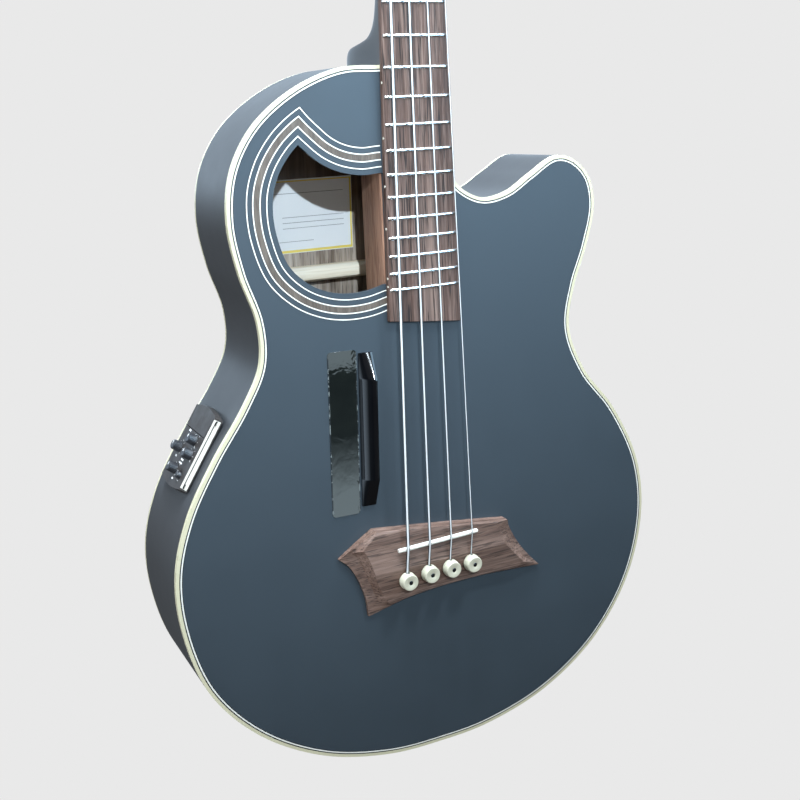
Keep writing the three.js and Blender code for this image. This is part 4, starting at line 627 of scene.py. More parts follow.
def film_material():
    """Glossy black film: faint waves under a hard clear surface."""
    s = Shader("film_gloss", Roughness=0.02, Specular_IOR_Level=0.8)
    s.link(s.mix(s.noise(30.0, 3.0), (0.002, 0.003, 0.004), (0.014, 0.018, 0.016)), "Base Color")
    return s.bump(s.noise(62.0, 3.0, 0.5, 0.5), 0.0005, 0.15)


def film_edge_material():
    """The film's lifted rim: broken pale flecks on black."""
    s = Shader("film_edge", Specular_IOR_Level=0.5)
    flecks = s.ramp(s.noise(190.0, 3.0, 0.6), [(0.5, 0.0), (0.58, 1.0)])
    s.link(s.mix(flecks, (0.012, 0.015, 0.018), (0.16, 0.18, 0.18)), "Base Color")
    s.link(s.ramp(flecks, [(0.0, 0.15), (1.0, 0.6)]), "Roughness")
    return s.bump(flecks, 0.00005, 0.5)


def paper_material():
    """Uncoated label paper with faint fibres and a soft stain."""
    s = Shader("label_paper", Roughness=0.9, Specular_IOR_Level=0.2)
    fibres = s.noise(600.0, 4.0, 0.7)
    fibrous = s.mix(fibres, (0.8, 0.83, 0.86), (0.86, 0.88, 0.9))
    s.link(s.mix(s.noise(18.0, 3.0), (0.76, 0.8, 0.84), fibrous), "Base Color")
    return s.bump(fibres, 0.00003, 0.4)


TOP = satin("top_satin", (0.028, 0.039, 0.05), (0.032, 0.044, 0.056), 0.46, 0.45)
SIDE = satin("side_satin", (0.043, 0.046, 0.051), (0.05, 0.053, 0.058), 0.42)
NECK = satin("neck_satin", (0.036, 0.034, 0.035), (0.042, 0.04, 0.041), 0.4)
INLAY_BLACK = satin("purfling_black", (0.008, 0.009, 0.011), (0.012, 0.013, 0.015), 0.45, 0.4)
# The back wood carries a painted shade: darker upwards from a height inside the body, where little light
# reaches.
BACK_WOOD = wood(
    "back_mahogany", ((0.12, 0.087, 0.066), (0.31, 0.255, 0.21), (0.52, 0.46, 0.4)),
    "Z", 240.0, 0.03, 0.5, painted_shade=(0.472, 0.5),
)
BLOCK_WOOD = wood(
    "block_mahogany", ((0.17, 0.083, 0.052), (0.33, 0.175, 0.113), (0.48, 0.275, 0.19)),
    "Z", 300.0, 0.06, 0.65,
)
SPRUCE = wood(
    "spruce", ((0.75, 0.63, 0.45), (0.92, 0.84, 0.68), (0.97, 0.92, 0.8)),
    "X", 300.0, 0.03, 0.6, 0.00004, 0.1,
)
SPRUCE_LONG = wood(
    "spruce_long", ((0.6, 0.47, 0.29), (0.76, 0.64, 0.43), (0.86, 0.77, 0.57)),
    "Z", 300.0, 0.03, 0.6, 0.00004, 0.1,
)
BAND_WOOD = wood(
    "rosette_maple", ((0.072, 0.055, 0.043), (0.12, 0.094, 0.075), (0.18, 0.146, 0.119)),
    "Z", 420.0, 0.12, 0.45, 0.00002, 0.3,
)
BRIDGE_WOOD = wood(
    "bridge_rosewood", ((0.055, 0.03, 0.022), (0.162, 0.097, 0.073), (0.29, 0.195, 0.158)),
    "X", 380.0, 0.05, 0.55, 0.00012, 0.7, math.radians(4),
)
# Lighter wood for the bridge's bevelled edges: a painted highlight along the edges.
BRIDGE_EDGE_HIGHLIGHT = wood(
    "bridge_edge_highlight", ((0.12, 0.085, 0.07), (0.27, 0.2, 0.175), (0.5, 0.42, 0.38)),
    "X", 420.0, 0.05, 0.5, 0.00008,
)
BOARD_WOOD = wood(
    "board_rosewood", ((0.028, 0.014, 0.01), (0.11, 0.062, 0.047), (0.3, 0.21, 0.175)),
    "Z", 330.0, 0.035, 0.5, 0.00012, 0.85,
)
CREAM = plastic("binding_cream", (0.63, 0.6, 0.43), 0.3, 0.06)
WHITE_LINE = plastic("purfling_white", (0.83, 0.83, 0.78), 0.4, 0.04)
BONE = plastic("bone_white", (0.88, 0.87, 0.8), 0.35, 0.05)
PIN_CREAM = plastic("pin_cream", (0.52, 0.507, 0.4), 0.3, 0.05)
DOT_BLACK = plastic("dot_black", (0.006, 0.006, 0.007), 0.2)
DOT_CREAM = plastic("dot_cream", (0.85, 0.82, 0.7), 0.35)
GLOSS = plastic("gloss_black", (0.001, 0.0012, 0.002), 0.09, 0.1, 0.000004, 120.0)
PANEL = plastic("panel_grey", (0.036, 0.032, 0.031), 0.42, 0.2, 0.00002, 900.0, 0.3)
KNOB = plastic("knob_black", (0.018, 0.019, 0.023), 0.35, 0.2)
TRIM = plastic("panel_trim", (0.5, 0.485, 0.44), 0.35, 0.05)
MARK = plastic("mark_white", (0.8, 0.8, 0.8), 0.5)
BATTERY = plastic("battery_jacket", (0.06, 0.065, 0.08), 0.3, 0.4)
BORDER = plastic("label_border", (0.75, 0.6, 0.12), 0.7)
INK = plastic("label_ink", (0.1, 0.11, 0.14), 0.7)
FRET = metal("fret_nickel", (0.9, 0.9, 0.89), 0.22, (0.1, 1, 1))
STEEL = metal("plain_steel", (0.5, 0.5, 0.51), 0.35, (1, 1, 0.1))
CHROME = metal("chrome", (0.8, 0.81, 0.83), 0.1)
BRASS = metal("brass", (0.75, 0.55, 0.25), 0.3)
STRING = string_material()
FILM = film_material()
FILM_EDGE = film_edge_material()
PAPER = paper_material()

# Nodes that keep their own shape
for material, names in (
    (SPRUCE, ("x_brace_bass", "x_brace_treble", "upper_face_brace", "bridge_plate")),
    (SPRUCE_LONG, ("top_lining", "back_lining")),
    (BLOCK_WOOD, ("neck_block", "tail_block")),
    (STEEL, ("truss_rod",)),
    (BONE, ("nut",)),
    (KNOB, ("preamp_housing",)),
):
    for name in names:
        NODES[name].data.materials.clear()
        NODES[name].data.materials.append(material)


# --- body


def body_outline():
    """The body's edge, kept within the part's width."""
    curve = catmull(scaled(BODY_SHARES, BODY_HALF_WIDTH, BODY_LENGTH), 10)
    corner = (NECK_CORNER_SHARE * BODY_HALF_WIDTH, BODY_LENGTH)
    shrink = BODY_HALF_WIDTH / max(x for x, z in curve)
    ring = [(0.0, BODY_LENGTH), *curve, corner]
    return [(x if x < 0 else x * shrink, z) for x, z in ring]


def hole_flank(shares):
    width = HOLE_WIDTH_SHARE * BODY_HALF_WIDTH
    low = BODY_LENGTH - HOLE_LOW_DROP
    return catmull([(HOLE_RIGHT_X - x * width, low + z * HOLE_HEIGHT) for x, z in shares], 8)


outline = body_outline()
hole_lower, hole_upper = hole_flank(HOLE_LOWER_SHARES), hole_flank(HOLE_UPPER_SHARES)
hole = [
    (UNDER_BOARD_X, hole_lower[0][1]), *hole_lower, *hole_upper[1:],
    (UNDER_BOARD_X, hole_upper[-1][1]),
]


def back_face(distance):
    """A rule for the depth of a face that runs with the back."""
    return lambda z: TAIL_DEPTH + (SHOULDER_DEPTH - TAIL_DEPTH) * z / BODY_LENGTH + distance


def body_pieces():
    plate = inset(outline, BINDING_WIDTH)
    form = prism_form(plate, 0, PLATE_THICKNESS, [hole])
    soften(make("top_plate", form, TOP, "soundboard"), 0.25, angle=60)
    form = prism_form(plate, back_face(-PLATE_THICKNESS), back_face(0))
    back = make("back_board", form, BACK_WOOD, "back_plate")
    back.data.materials.append(SIDE)
    for polygon in back.data.polygons:
        polygon.material_index = int(polygon.normal.y > 0.5)
    for name, node, front, back, bevel in (
        ("binding_front", "top_binding", 0, TOP_BINDING_DEPTH, 0.6),
        ("binding_back", "back_binding", back_face(-BACK_BINDING_DEPTH), back_face(0), 0.5),
    ):
        form = prism_form(outline, front, back, [plate])
        soften(make(name, form, CREAM, node), bevel, 3, 60)
    for name, near, far, rise, material in (
        ("purfling_black", 2.72, 5.3, -0.03, INLAY_BLACK),
        ("purfling_white", 3.6, 4.7, -0.06, WHITE_LINE),
    ):
        form = prism_form(inset(outline, near), rise, 0.2, [inset(outline, far)])
        make(name, form, material)
    tail = next(
        i for i, (x, z) in enumerate(outline) if i > 1 and x >= 0 and z < BODY_LENGTH / 2
    )
    inner = inset(outline, RIM_THICKNESS)
    rims = {}
    low = TOP_BINDING_DEPTH + RIM_GAP
    high = back_face(-BACK_BINDING_DEPTH - RIM_GAP)
    for side, ring in (
        ("bass", outline[: tail + 1] + inner[: tail + 1][::-1]),
        ("treble", outline[tail:] + [outline[0], inner[0]] + inner[tail:][::-1]),
    ):
        form = prism_form(ring, low, high)
        rims[side] = make(f"rim_{side}", form, SIDE, f"side_rim_{side}")
    cut(rims["bass"], [box_form(*HOUSING_OPENING), box_form(*BATTERY_OPENING)], PREAMP)


def run_on(line, reach=45.0, look_back=20.0, steps=15):
    """Carries an open line on past its end, bending as its last stretch does."""
    pairs = list(zip(line, line[1:]))
    turns = [math.atan2(b[1] - a[1], b[0] - a[0]) for a, b in pairs]
    run, k = 0.0, len(pairs)
    while run < look_back:
        k -= 1
        run += math.dist(*pairs[k])
    bend = (turns[-1] - turns[k - 1]) / run
    (x, z), heading = line[-1], turns[-1]
    more = []
    for _ in range(steps):
        heading += bend * reach / steps
        x += math.cos(heading) * reach / steps
        z += math.sin(heading) * reach / steps
        more.append((x, z))
    return list(line) + more


def meeting(one, two):
    """Two lines as one, joined where the end of the first crosses the second."""
    for i in reversed(range(len(one) - 1)):
        for j in range(len(two) - 1):
            p, r = Vector(one[i]), Vector(one[i + 1]) - Vector(one[i])
            q, w = Vector(two[j]), Vector(two[j + 1]) - Vector(two[j])
            across = r.x * w.y - r.y * w.x
            if abs(across) < 1e-9:
                continue
            gap = q - p
            t = (gap.x * w.y - gap.y * w.x) / across
            u = (gap.x * r.y - gap.y * r.x) / across
            if 0 <= t <= 1 and 0 <= u <= 1:
                return one[: i + 1] + [tuple(p + r * t)] + two[j + 1 :]
    return one + two


def ring_line(distance):
    """A line at a distance round the soundhole, with its flanks curved up to the cusp."""
    lower = [(RING_RIGHT_X, hole_lower[0][1]), *hole_lower[1:]]
    upper = [*hole_upper[:-1], (RING_RIGHT_X, hole_upper[-1][1])]
    away = distance if area(hole) > 0 else -distance
    rising = offset(run_on(lower), away, closed=False)
    falling = offset(run_on(upper[::-1])[::-1], away, closed=False)
    return meeting(rising, falling)


def rosette_pieces():
    """A wooden band between white lines, each line on a black one."""
    bands = [("band", *RING_LINES[1:3], -0.03, BAND_WOOD)]
    for i, middle in enumerate(RING_LINES):
        for part, half, rise, material in (
            ("edge", LINE_EDGE_HALF_WIDTH, -0.02, INLAY_BLACK),
            ("line", LINE_HALF_WIDTH, -0.06, WHITE_LINE),
        ):
            bands.append((f"{part}_{i}", middle - half, middle + half, rise, material))
    for name, near, far, rise, material in bands:
        form = prism_form(ring_line(near) + ring_line(far)[::-1], rise, 0.6)
        node = "rosette" if name == "band" else None
        make(f"rosette_{name}", form, material, node)


body_pieces()
rosette_pieces()


# --- inside


def brace_form(half, z):
    """A back brace with a rounded ridge and ends that scoop down."""
    side = [(1, 0), (1, 0.45), (0.9, 0.72), (0.62, 0.92)]
    profile = [(-1, 0), *side, (0, 1), *[(-w, h) for w, h in side[:0:-1]]]
    base = back_face(-3.1)(z)
    rings = []
    for x in spread(-half, half, 24):
        rise = math.sin(min(1.0, (half - abs(x)) / BRACE_SCOOP) * math.pi / 2) ** 2
        tall = BRACE_HEIGHT * (BRACE_END_SHARE + (1 - BRACE_END_SHARE) * rise)
        rings.append([(x, base - h * tall, z + w * BRACE_WIDTH / 2) for w, h in profile])
    return loft_form(rings)


def inner_pieces():
    for name, z in (
        ("upper", BODY_LENGTH - 162.5), ("middle", 0.4927 * BODY_LENGTH),
        ("lower", 0.2361 * BODY_LENGTH),
    ):
        low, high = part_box(f"back_brace_{name}")
        form = brace_form((high.x - low.x) / 2 / MM, z)
        form = placed(form, move((low.x + high.x) / 2 / MM, 0, 0))
        make(f"brace_{name}", form, SPRUCE, f"back_brace_{name}")


def label_pieces():
    """A plain sheet, its coloured border and a few ruled lines."""
    left, low, right, top = LABEL_BOX
    sheets = [
        ("edge", left, low, right, top, 0.1, PAPER, "paper_label"),
        ("frame", left + 0.5, low + 0.5, right - 0.4, top - 1.0, 0.14, BORDER, None),
        ("sheet", left + 2.3, low + 2.6, right - 2.0, top - 2.1, 0.18, PAPER, None),
    ]
    rules = (49.0, 8, 8), (29.5, 26, 8), (25.0, 26, 8), (20.5, 26, 8), (9.5, 10, 36)
    for i, (rise, start, end) in enumerate(rules):
        z = low + rise
        sheets.append((f"rule_{i}", left + start, z, right - end, z + 0.35, 0.22, INK, None))
    for name, x0, z0, x1, z1, lift, material, node in sheets:
        ring = [(x0, z0), (x1, z0), (x1, z1), (x0, z1)]
        form = prism_form(ring, back_face(-3.2 - lift), back_face(-3.05))
        make(f"label_{name}", form, material, node)


inner_pieces()
label_pieces()


# --- neck


def fret_rise(n):
    """A fret's height above the saddle, by the equal-tempered rule."""
    return SCALE_LENGTH * 2 ** (-n / 12)


def board_half(above_saddle):
    share = (SCALE_LENGTH - above_saddle) / (SCALE_LENGTH - fret_rise(FRET_COUNT))
    return (NUT_WIDTH + (LAST_FRET_WIDTH - NUT_WIDTH) * share) / 2


def crown(x):
    return BOARD_TOP + x * x / (2 * BOARD_RADIUS)


def board_ring(half, z_of):
    top = [(x, crown(x), z_of(x)) for x in spread(half, -half, 18)]
    return [(-half, -0.1, z_of(-half)), (half, -0.1, z_of(half)), *top]


def fret_form(n):
    """A low arch across the board, filed back at both ends."""
    above = fret_rise(n)
    places = spread(-board_half(above) + 1.3, board_half(above) - 0.5, 12)
    rings = []
    for x in places:
        tall = FRET_HEIGHT * (0.45 if x in (places[0], places[-1]) else 1.0)
        pull = 0.5 * (x == places[0]) - 0.5 * (x == places[-1])
        rings.append([
            (x + pull * h, crown(x) - tall * h, SADDLE_TO_TAIL + above + 1.3 * c)
            for c, h in arc(math.pi, 6)
        ])
    return loft_form(rings)


def board_pieces():
    last = fret_rise(FRET_COUNT)
    end_half = board_half(last - BOARD_OVERHANG_BASS)
    middle = SADDLE_TO_TAIL + last - (BOARD_OVERHANG_BASS + BOARD_OVERHANG_TREBLE) / 2
    slope = (BOARD_OVERHANG_BASS - BOARD_OVERHANG_TREBLE) / 2
    form = loft_form([
        board_ring(end_half, lambda x: middle + slope * x / end_half),
        board_ring(board_half(SCALE_LENGTH), lambda x: NUT_FRONT_Z),
    ])
    soften(make("board", form, BOARD_WOOD, "fingerboard"), 0.35, angle=30)
    frets = [fret_form(n) for n in range(1, FRET_COUNT + 1)]
    make("frets", joined(*frets), FRET)
    dots = []
    for n in (3, 5, 7, 9, 12, 15, 17, 19, 21, 24):
        for shift in (0,) if n % 12 else (-3.2, 3.2):
            above = (fret_rise(n - 1) + fret_rise(n)) / 2 + shift
            at = move(-board_half(above) - 0.06, -2.9, SADDLE_TO_TAIL + above)
            dots.append(placed(bore_form(1.0, 0, 0.4, 16), at @ spin(-90, "Z")))
    make("side_dots", joined(*dots), DOT_CREAM)


def neck_ring(z, half, depth, squareness=SHAFT_SQUARENESS):
    power = 2 / squareness
    return [
        (-half * math.copysign(abs(c) ** power, c), depth * max(s, 0) ** power, z)
        for c, s in arc(math.pi, 28)
    ]


def neck_rings():
    """Rings up the heel and the shaft, and on into the headstock."""
    bottom = BODY_LENGTH + 0.2
    knots = [(p * HEEL_LENGTH, d * HEEL_DEPTH, q) for p, d, q in HEEL_SHARES]
    stations = [
        (bottom + rise, min(depth, HEEL_DEPTH), min(max(square, 0), 1))
        for rise, depth, square in catmull([*knots, (HEEL_LENGTH, SHAFT_DEPTH_HEEL, 0.0)], 6)
    ]
    heights = spread(bottom + HEEL_LENGTH, NUT_FRONT_Z - HEAD_THROAT, 12)
    depths = spread(SHAFT_DEPTH_HEEL, SHAFT_DEPTH_NUT, 12)
    stations += [(z, depth, 0) for z, depth in list(zip(heights, depths))[1:]]
    rings = []
    for z, depth, square in stations:
        half = board_half(z - SADDLE_TO_TAIL) - 0.4
        rings.append(neck_ring(z, half, depth, SHAFT_SQUARENESS + HEEL_SQUARENESS * square))
    for z, depth, half in (
        (NUT_FRONT_Z, SHAFT_DEPTH_NUT, 19.4), (NUT_BACK_Z, 16.3, 19.4),
        (NUT_BACK_Z + 8, 17.0, 19.6), (NUT_BACK_Z + HEAD_THROAT, 17.2, 19.7),
    ):
        rings.append(neck_ring(z, half, depth))
    return rings


def neck_pieces():
    shaft = make("neck_shaft", loft_form(neck_rings()), NECK, "neck", smooth=50)
    cut(shaft, [
        box_form((-60, -HEAD_THICKNESS, 0), (60, 1.1, 60)),
        box_form((-6, -5, 0), ROD_POCKET[1]),
    ], HEAD)
    right = catmull(scaled(HEAD_SHARES, HEAD_HALF_WIDTH, HEAD_LENGTH), 8)
    shape = right + [(-x, z) for x, z in right[:-1]][::-1]
    bores = [
        placed(bore_form(TUNER_BORE_RADIUS, -5, 30, 32), move(side * TUNER_X, 0, z))
        for side, z in TUNERS.values()
    ]
    for name, front, back, material, slot, bevel, steps in (
        ("headstock", 1.2, HEAD_THICKNESS, NECK, "neck_finish", 0.8, 3),
        ("head_veneer", 0, 1.15, TOP, "gloss_black", 0.3, 2),
    ):
        piece = make(name, prism_form(shape, front, back), material, at=HEAD)
        cut(piece, [*bores, box_form(*ROD_POCKET)], HEAD)
        soften(piece, bevel, steps, 60)
    ring = [(x, 3 + z) for x, z in scaled(COVER_SHARES, COVER_HALF_WIDTH, COVER_LENGTH)]
    form = prism_form(ring, -2.2, -0.1)
    cover = make("rod_cover", form, GLOSS, "truss_rod_cover", at=HEAD)
    soften(cover, 0.5, 3)
    places = ((-9.5, 7), (9.5, 7), (0, 43))
    screws = [placed(screw_form(2.2, 1.0), move(x, -2.2, z)) for x, z in places]
    make("cover_screws", joined(*screws), CHROME, at=HEAD)


def screw_form(radius, rise):
    """A domed screw head facing -Y with a sunk middle."""
    return lathe_form([
        (0, 0.3), (radius, 0.3), (radius, -rise * 0.4), (radius * 0.7, -rise),
        (radius * 0.42, -rise), (radius * 0.4, -rise * 0.2), (0, -rise * 0.2),
    ], 24)


board_pieces()
neck_pieces()


# --- bridge, saddle, pins and strings


def deck_height(drop):
    """The bridge's height at a distance below the saddle."""
    share = (drop - BRIDGE_SLOPE_START) / (BRIDGE_SLOPE_END - BRIDGE_SLOPE_START)
    return BRIDGE_HEIGHT - (BRIDGE_HEIGHT - BRIDGE_REAR_HEIGHT) * max(share, 0)


def bridge_rings():
    """Rings at the foot, the wall's top, the bevel's top and the deck, sharp at the corners."""
    levels = [[], [], []]
    corners = BRIDGE_CORNERS + [len(BRIDGE_SHARES)]
    for start, end in zip(corners, corners[1:]):
        rows = [BRIDGE_SHARES[i % len(BRIDGE_SHARES)] for i in range(start, end + 1)]
        for k, ring in enumerate(levels):
            knots = [
                (x * BRIDGE_SPAN, z * BRIDGE_DROP, height * BRIDGE_HEIGHT)
                for x, z, height in (row[3 * k : 3 * k + 3] for row in rows)
            ]
            ring += catmull(knots, 6)[:-1]
    foot = [(x, -0.1, SADDLE_TO_TAIL + z) for x, z, height in levels[0]]
    return [foot, *[[(x, -h - 0.2, SADDLE_TO_TAIL + z) for x, z, h in ring] for ring in levels]]


def bridge_pieces():
    form = capped_loft(bridge_rings())
    bridge = make("bridge_body", form, BRIDGE_WOOD, "bridge", smooth=28)
    start, end = BRIDGE_SLOPE_START, 80
    wedge = loft_form([
        [(x, -deck_height(start) - 0.2, SADDLE_TO_TAIL - start), (x, -30, SADDLE_TO_TAIL - start),
         (x, -30, SADDLE_TO_TAIL - end), (x, -deck_height(end) - 0.2, SADDLE_TO_TAIL - end)]
        for x in (-120, 120)
    ])
    cut(bridge, [wedge])
    # The bevels take the lighter wood: a painted highlight along the bridge's edges.
    bridge.data.materials.append(BRIDGE_EDGE_HIGHLIGHT)
    soften(bridge, 0.42, 2, 24).material = 1


def saddle_piece():
    side = [(1.5, 0.9), (1.35, 0.45), (0.95, 0.12), (0, 0)]
    side += [(-w, drop) for w, drop in side[-2::-1]]
    places = spread(-SADDLE_HALF_LENGTH, SADDLE_HALF_LENGTH, 20)
    rings = []
    for x in places:
        narrow = 0.55 if x in (places[0], places[-1]) else 1
        ring = [(x, -6.5, -SADDLE_HALF_WIDTH), (x, -6.5, SADDLE_HALF_WIDTH)]
        for w, drop in side:
            z = w if abs(w) == SADDLE_HALF_WIDTH else w * narrow
            ring.append((x, drop - SADDLE_RISE, z))
        rings.append(ring)
    slant = math.atan2(SADDLE_SLANT, SADDLE_HALF_LENGTH * 2)
    tilt = move(SADDLE_X, 0, SADDLE_TO_TAIL + SADDLE_SHIFT) @ Matrix.Rotation(-slant, 4, "Y")
    form = placed(loft_form(rings), tilt)
    soften(make("saddle_bone", form, BONE, "saddle"), 0.3, angle=40)


def string_places():
    """Each string's name, radius, lane and x, and the heights of its pin and rising hole."""
    for i, (name, diameter) in enumerate(STRINGS.items()):
        lane, radius = i - 1.5, diameter / 2
        pin_z = SADDLE_TO_TAIL - PIN_DROPS[i]
        yield name, radius, lane, lane * STRING_SPACING, pin_z, pin_z + PIN_SHANK + 0.3 + radius


def pin_pieces():
    for name, radius, _, x, pin_z, rise_z in string_places():
        low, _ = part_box(f"bridge_pin_{name}")
        base = low.y / MM - FRONT_Y + PIN_HEIGHT
        profile = [(0, 13), (2.1, 13), (2.3, 12), (PIN_SHANK, base)]
        profile += [(r, base - rise) for r, rise in (
            (7.1, 0), (7.5, 0.3), (PIN_RADIUS, 0.9), (PIN_RADIUS, 2.0), (7.3, 2.6), (7.1, 6.7),
            (6.9, 7.4), (6.4, PIN_HEIGHT), (2.3, PIN_HEIGHT), (1.95, 7.65), (1.85, 7.4), (0, 7.4),
        )]
        form = placed(lathe_form(profile, 56), move(x, 0, pin_z))
        pin = make(f"pin_{name}", form, PIN_CREAM, f"bridge_pin_{name}", smooth=26)
        half = radius + 0.35
        low = (x - half, base - radius * 2 - 1.4, rise_z - half)
        cut(pin, [box_form(low, (x + half, 0, pin_z + 20))])
        dot = lathe_form([(0, -0.2), (1.84, -0.2), (1.84, -0.28), (1.5, -0.42), (0, -0.5)], 28)
        dot = placed(dot, move(x, base - 7.3, pin_z))
        make(f"pin_dot_{name}", dot, DOT_BLACK)


def wraps(side, post_z, radius, steps=40):
    """Two turns of a string down its post."""
    reach = POST_RADIUS + WRAP_GAP + radius
    step = radius * 2 + WRAP_STEP_GAP
    start = 0 if side < 0 else math.pi
    for k in range(2 * steps + 1):
        turn = start - side * 2 * math.pi * k / steps
        x, z = side * TUNER_X + reach * math.cos(turn), post_z + reach * math.sin(turn)
        yield tuple(BODY.inverted() @ HEAD @ Vector((x, -WRAP_START - step * k / steps, z)))


def string_pieces():
    ball = lathe_form(
        [(0, 0), (2.0, 0), (2.5, 0.6), (1.6, 2.5), (2.5, 4.4), (2.0, 5), (0, 5)], 24
    )
    for name, radius, lane, x, _, rise_z in string_places():
        saddle_z = SADDLE_TO_TAIL + SADDLE_SHIFT
        saddle_z += SADDLE_SLANT * (x - SADDLE_X) / (2 * SADDLE_HALF_LENGTH)
        bend_y = -(deck_height(SADDLE_TO_TAIL - rise_z) + 0.6 + radius)
        saddle_y = -(SADDLE_RISE + 0.3 + radius)
        nut_x, nut_y = lane * NUT_SPACING, BOARD_TOP - FRET_HEIGHT - 0.7 - radius
        bend = [
            (x, bend_y + radius * (2 - 2 * s), rise_z + radius * (2 - 2 * c))
            for c, s in arc(math.pi / 2, 6)
        ]
        path = [
            (x, 6.2, rise_z), (x, 0, rise_z), *bend, (x, saddle_y + 0.15, saddle_z - 1.2),
            (x, saddle_y, saddle_z), (x + (nut_x - x) * 0.003, saddle_y + 0.02, saddle_z + 1.5),
            (nut_x, nut_y, NUT_FRONT_Z), (nut_x, nut_y, NUT_BACK_Z), *wraps(*TUNERS[name], radius),
        ]
        wire = tube_form(path, radius, 12)
        make(f"wire_{name}", wire, STRING, f"string_{name}", smooth=60)
        make(f"ball_{name}", placed(ball, move(x, 7.1, rise_z + 1)), BRASS)


bridge_pieces()
saddle_piece()
pin_pieces()
string_pieces()


# --- thumb rest and film

REST_HEIGHT = 12.0
FILM_BOX = (-32.6, -70, -7.6, 67)
FILM_CORNER = 3.2
FILM_EDGES = ((-32.6, -31.7), (-8.3, -7.6))
FILM_EDGE_ENDS = (-66.5, 62.0)


def slope_line(steep, shallow, steps):
    """Shares of rise and fall along a slope whose normal swings between two angles."""
    falls, rises = [0.0], [0.0]
    for k in range(steps):
        turn = math.radians(steep + (shallow - steep) * (k + 0.5) / steps)
        falls.append(falls[-1] + math.cos(turn))
        rises.append(rises[-1] + math.sin(turn))
    return [(rise / rises[-1], fall / falls[-1]) for rise, fall in zip(rises, falls)]


def rest_piece():
    """A bar with a sheer treble side, a rounded bass side and a ramp at each end."""
    slope = slope_line(66, 28, 12)
    rings = []
    for z, height in (
        (-64, 2.2), (-41.5, 11.6), (-40.5, 11.9), (-39, REST_HEIGHT), (41.5, REST_HEIGHT),
        (43, 11.9), (44, 11.6), (64, 2.2),
    ):
        share = height / REST_HEIGHT
        low = min(1.6, height * 0.7)
        width = 9.6 + 0.9 * (1 - share)
        side = [(-6 + width * fall, -low - (height - low) * rise) for rise, fall in slope]
        edge = 6 - 0.8 * share
        ring = [(-6, -0.05), (6, -0.05), (edge, -height + 0.3), (edge - 0.3, -height)]
        rings.append([(x, y, z) for x, y in ring + side[::-1]])
    make("thumb_bar", loft_form(rings), GLOSS, "thumb_rest", at=REST, smooth=21)


def film_pieces():
    left, low, right, high = FILM_BOX
    ring = []
    for x, z, sx, sz in ((left, low, 1, 1), (right, low, -1, 1), (right, high, -1, -1),
                         (left, high, 1, -1)):
        corner = [(x + sx * FILM_CORNER * (1 - c), z + sz * FILM_CORNER * (1 - s))
                  for c, s in arc(math.pi / 2, 6)]
        ring += corner if sx * sz > 0 else corner[::-1]
    form = prism_form(ring, -0.5, -0.05)
    soften(make("film", form, FILM, "finger_film", at=REST), 0.15, angle=40)
    low, high = FILM_EDGE_ENDS
    for k, (near, far) in enumerate(FILM_EDGES):
        strip = [(near, low), (far, low), (far, high), (near, high)]
        form = prism_form(strip, -0.54, -0.1)
        make(f"film_edge_{k}", form, FILM_EDGE, at=REST)


rest_piece()
film_pieces()


# --- preamp, in the frame of its wall, where -X points out of the rim

MARK_BARS = [
    (10.8, 10.9, 5.0, 1.6), (14.0, -12.4, 3.4, 1.8), (-2.3, -11.6, 6.0, 1.4),
    (-2.3, -14.6, 6.0, 1.4), (18.5, -26.0, 3.2, 1.4), (-0.9, -28.2, 3.6, 1.6),
]
MARK_X = -6.57
TICK_X = (-6.56, -6.45)
TICK_HALF_WIDTH = 0.16
TICK_REACH = (5.4, 6.6)
TICK_TOP = 12.1
TRAY_FLOOR = ((-1.9, -13.55, 12.75), (49.5, 13.55, 13.55))
TRAY_END = ((48.7, -13.55, 12.75), (49.5, 13.55, 22.3))
CELL = ((0.3, -13.25, 13.8), (48.8, 13.25, 30.8))


def panel_ring(x, half_depth, pull):
    """The panel's outline at a height, with its bulged ends pulled in."""
    return [
        (x, y, sign * (PANEL_HALF_LENGTH + PANEL_BULGE * (1 - (y / PANEL_HALF_DEPTH) ** 2) - pull))
        for sign in (1, -1) for y in spread(-sign * half_depth, sign * half_depth, 24)
    ]


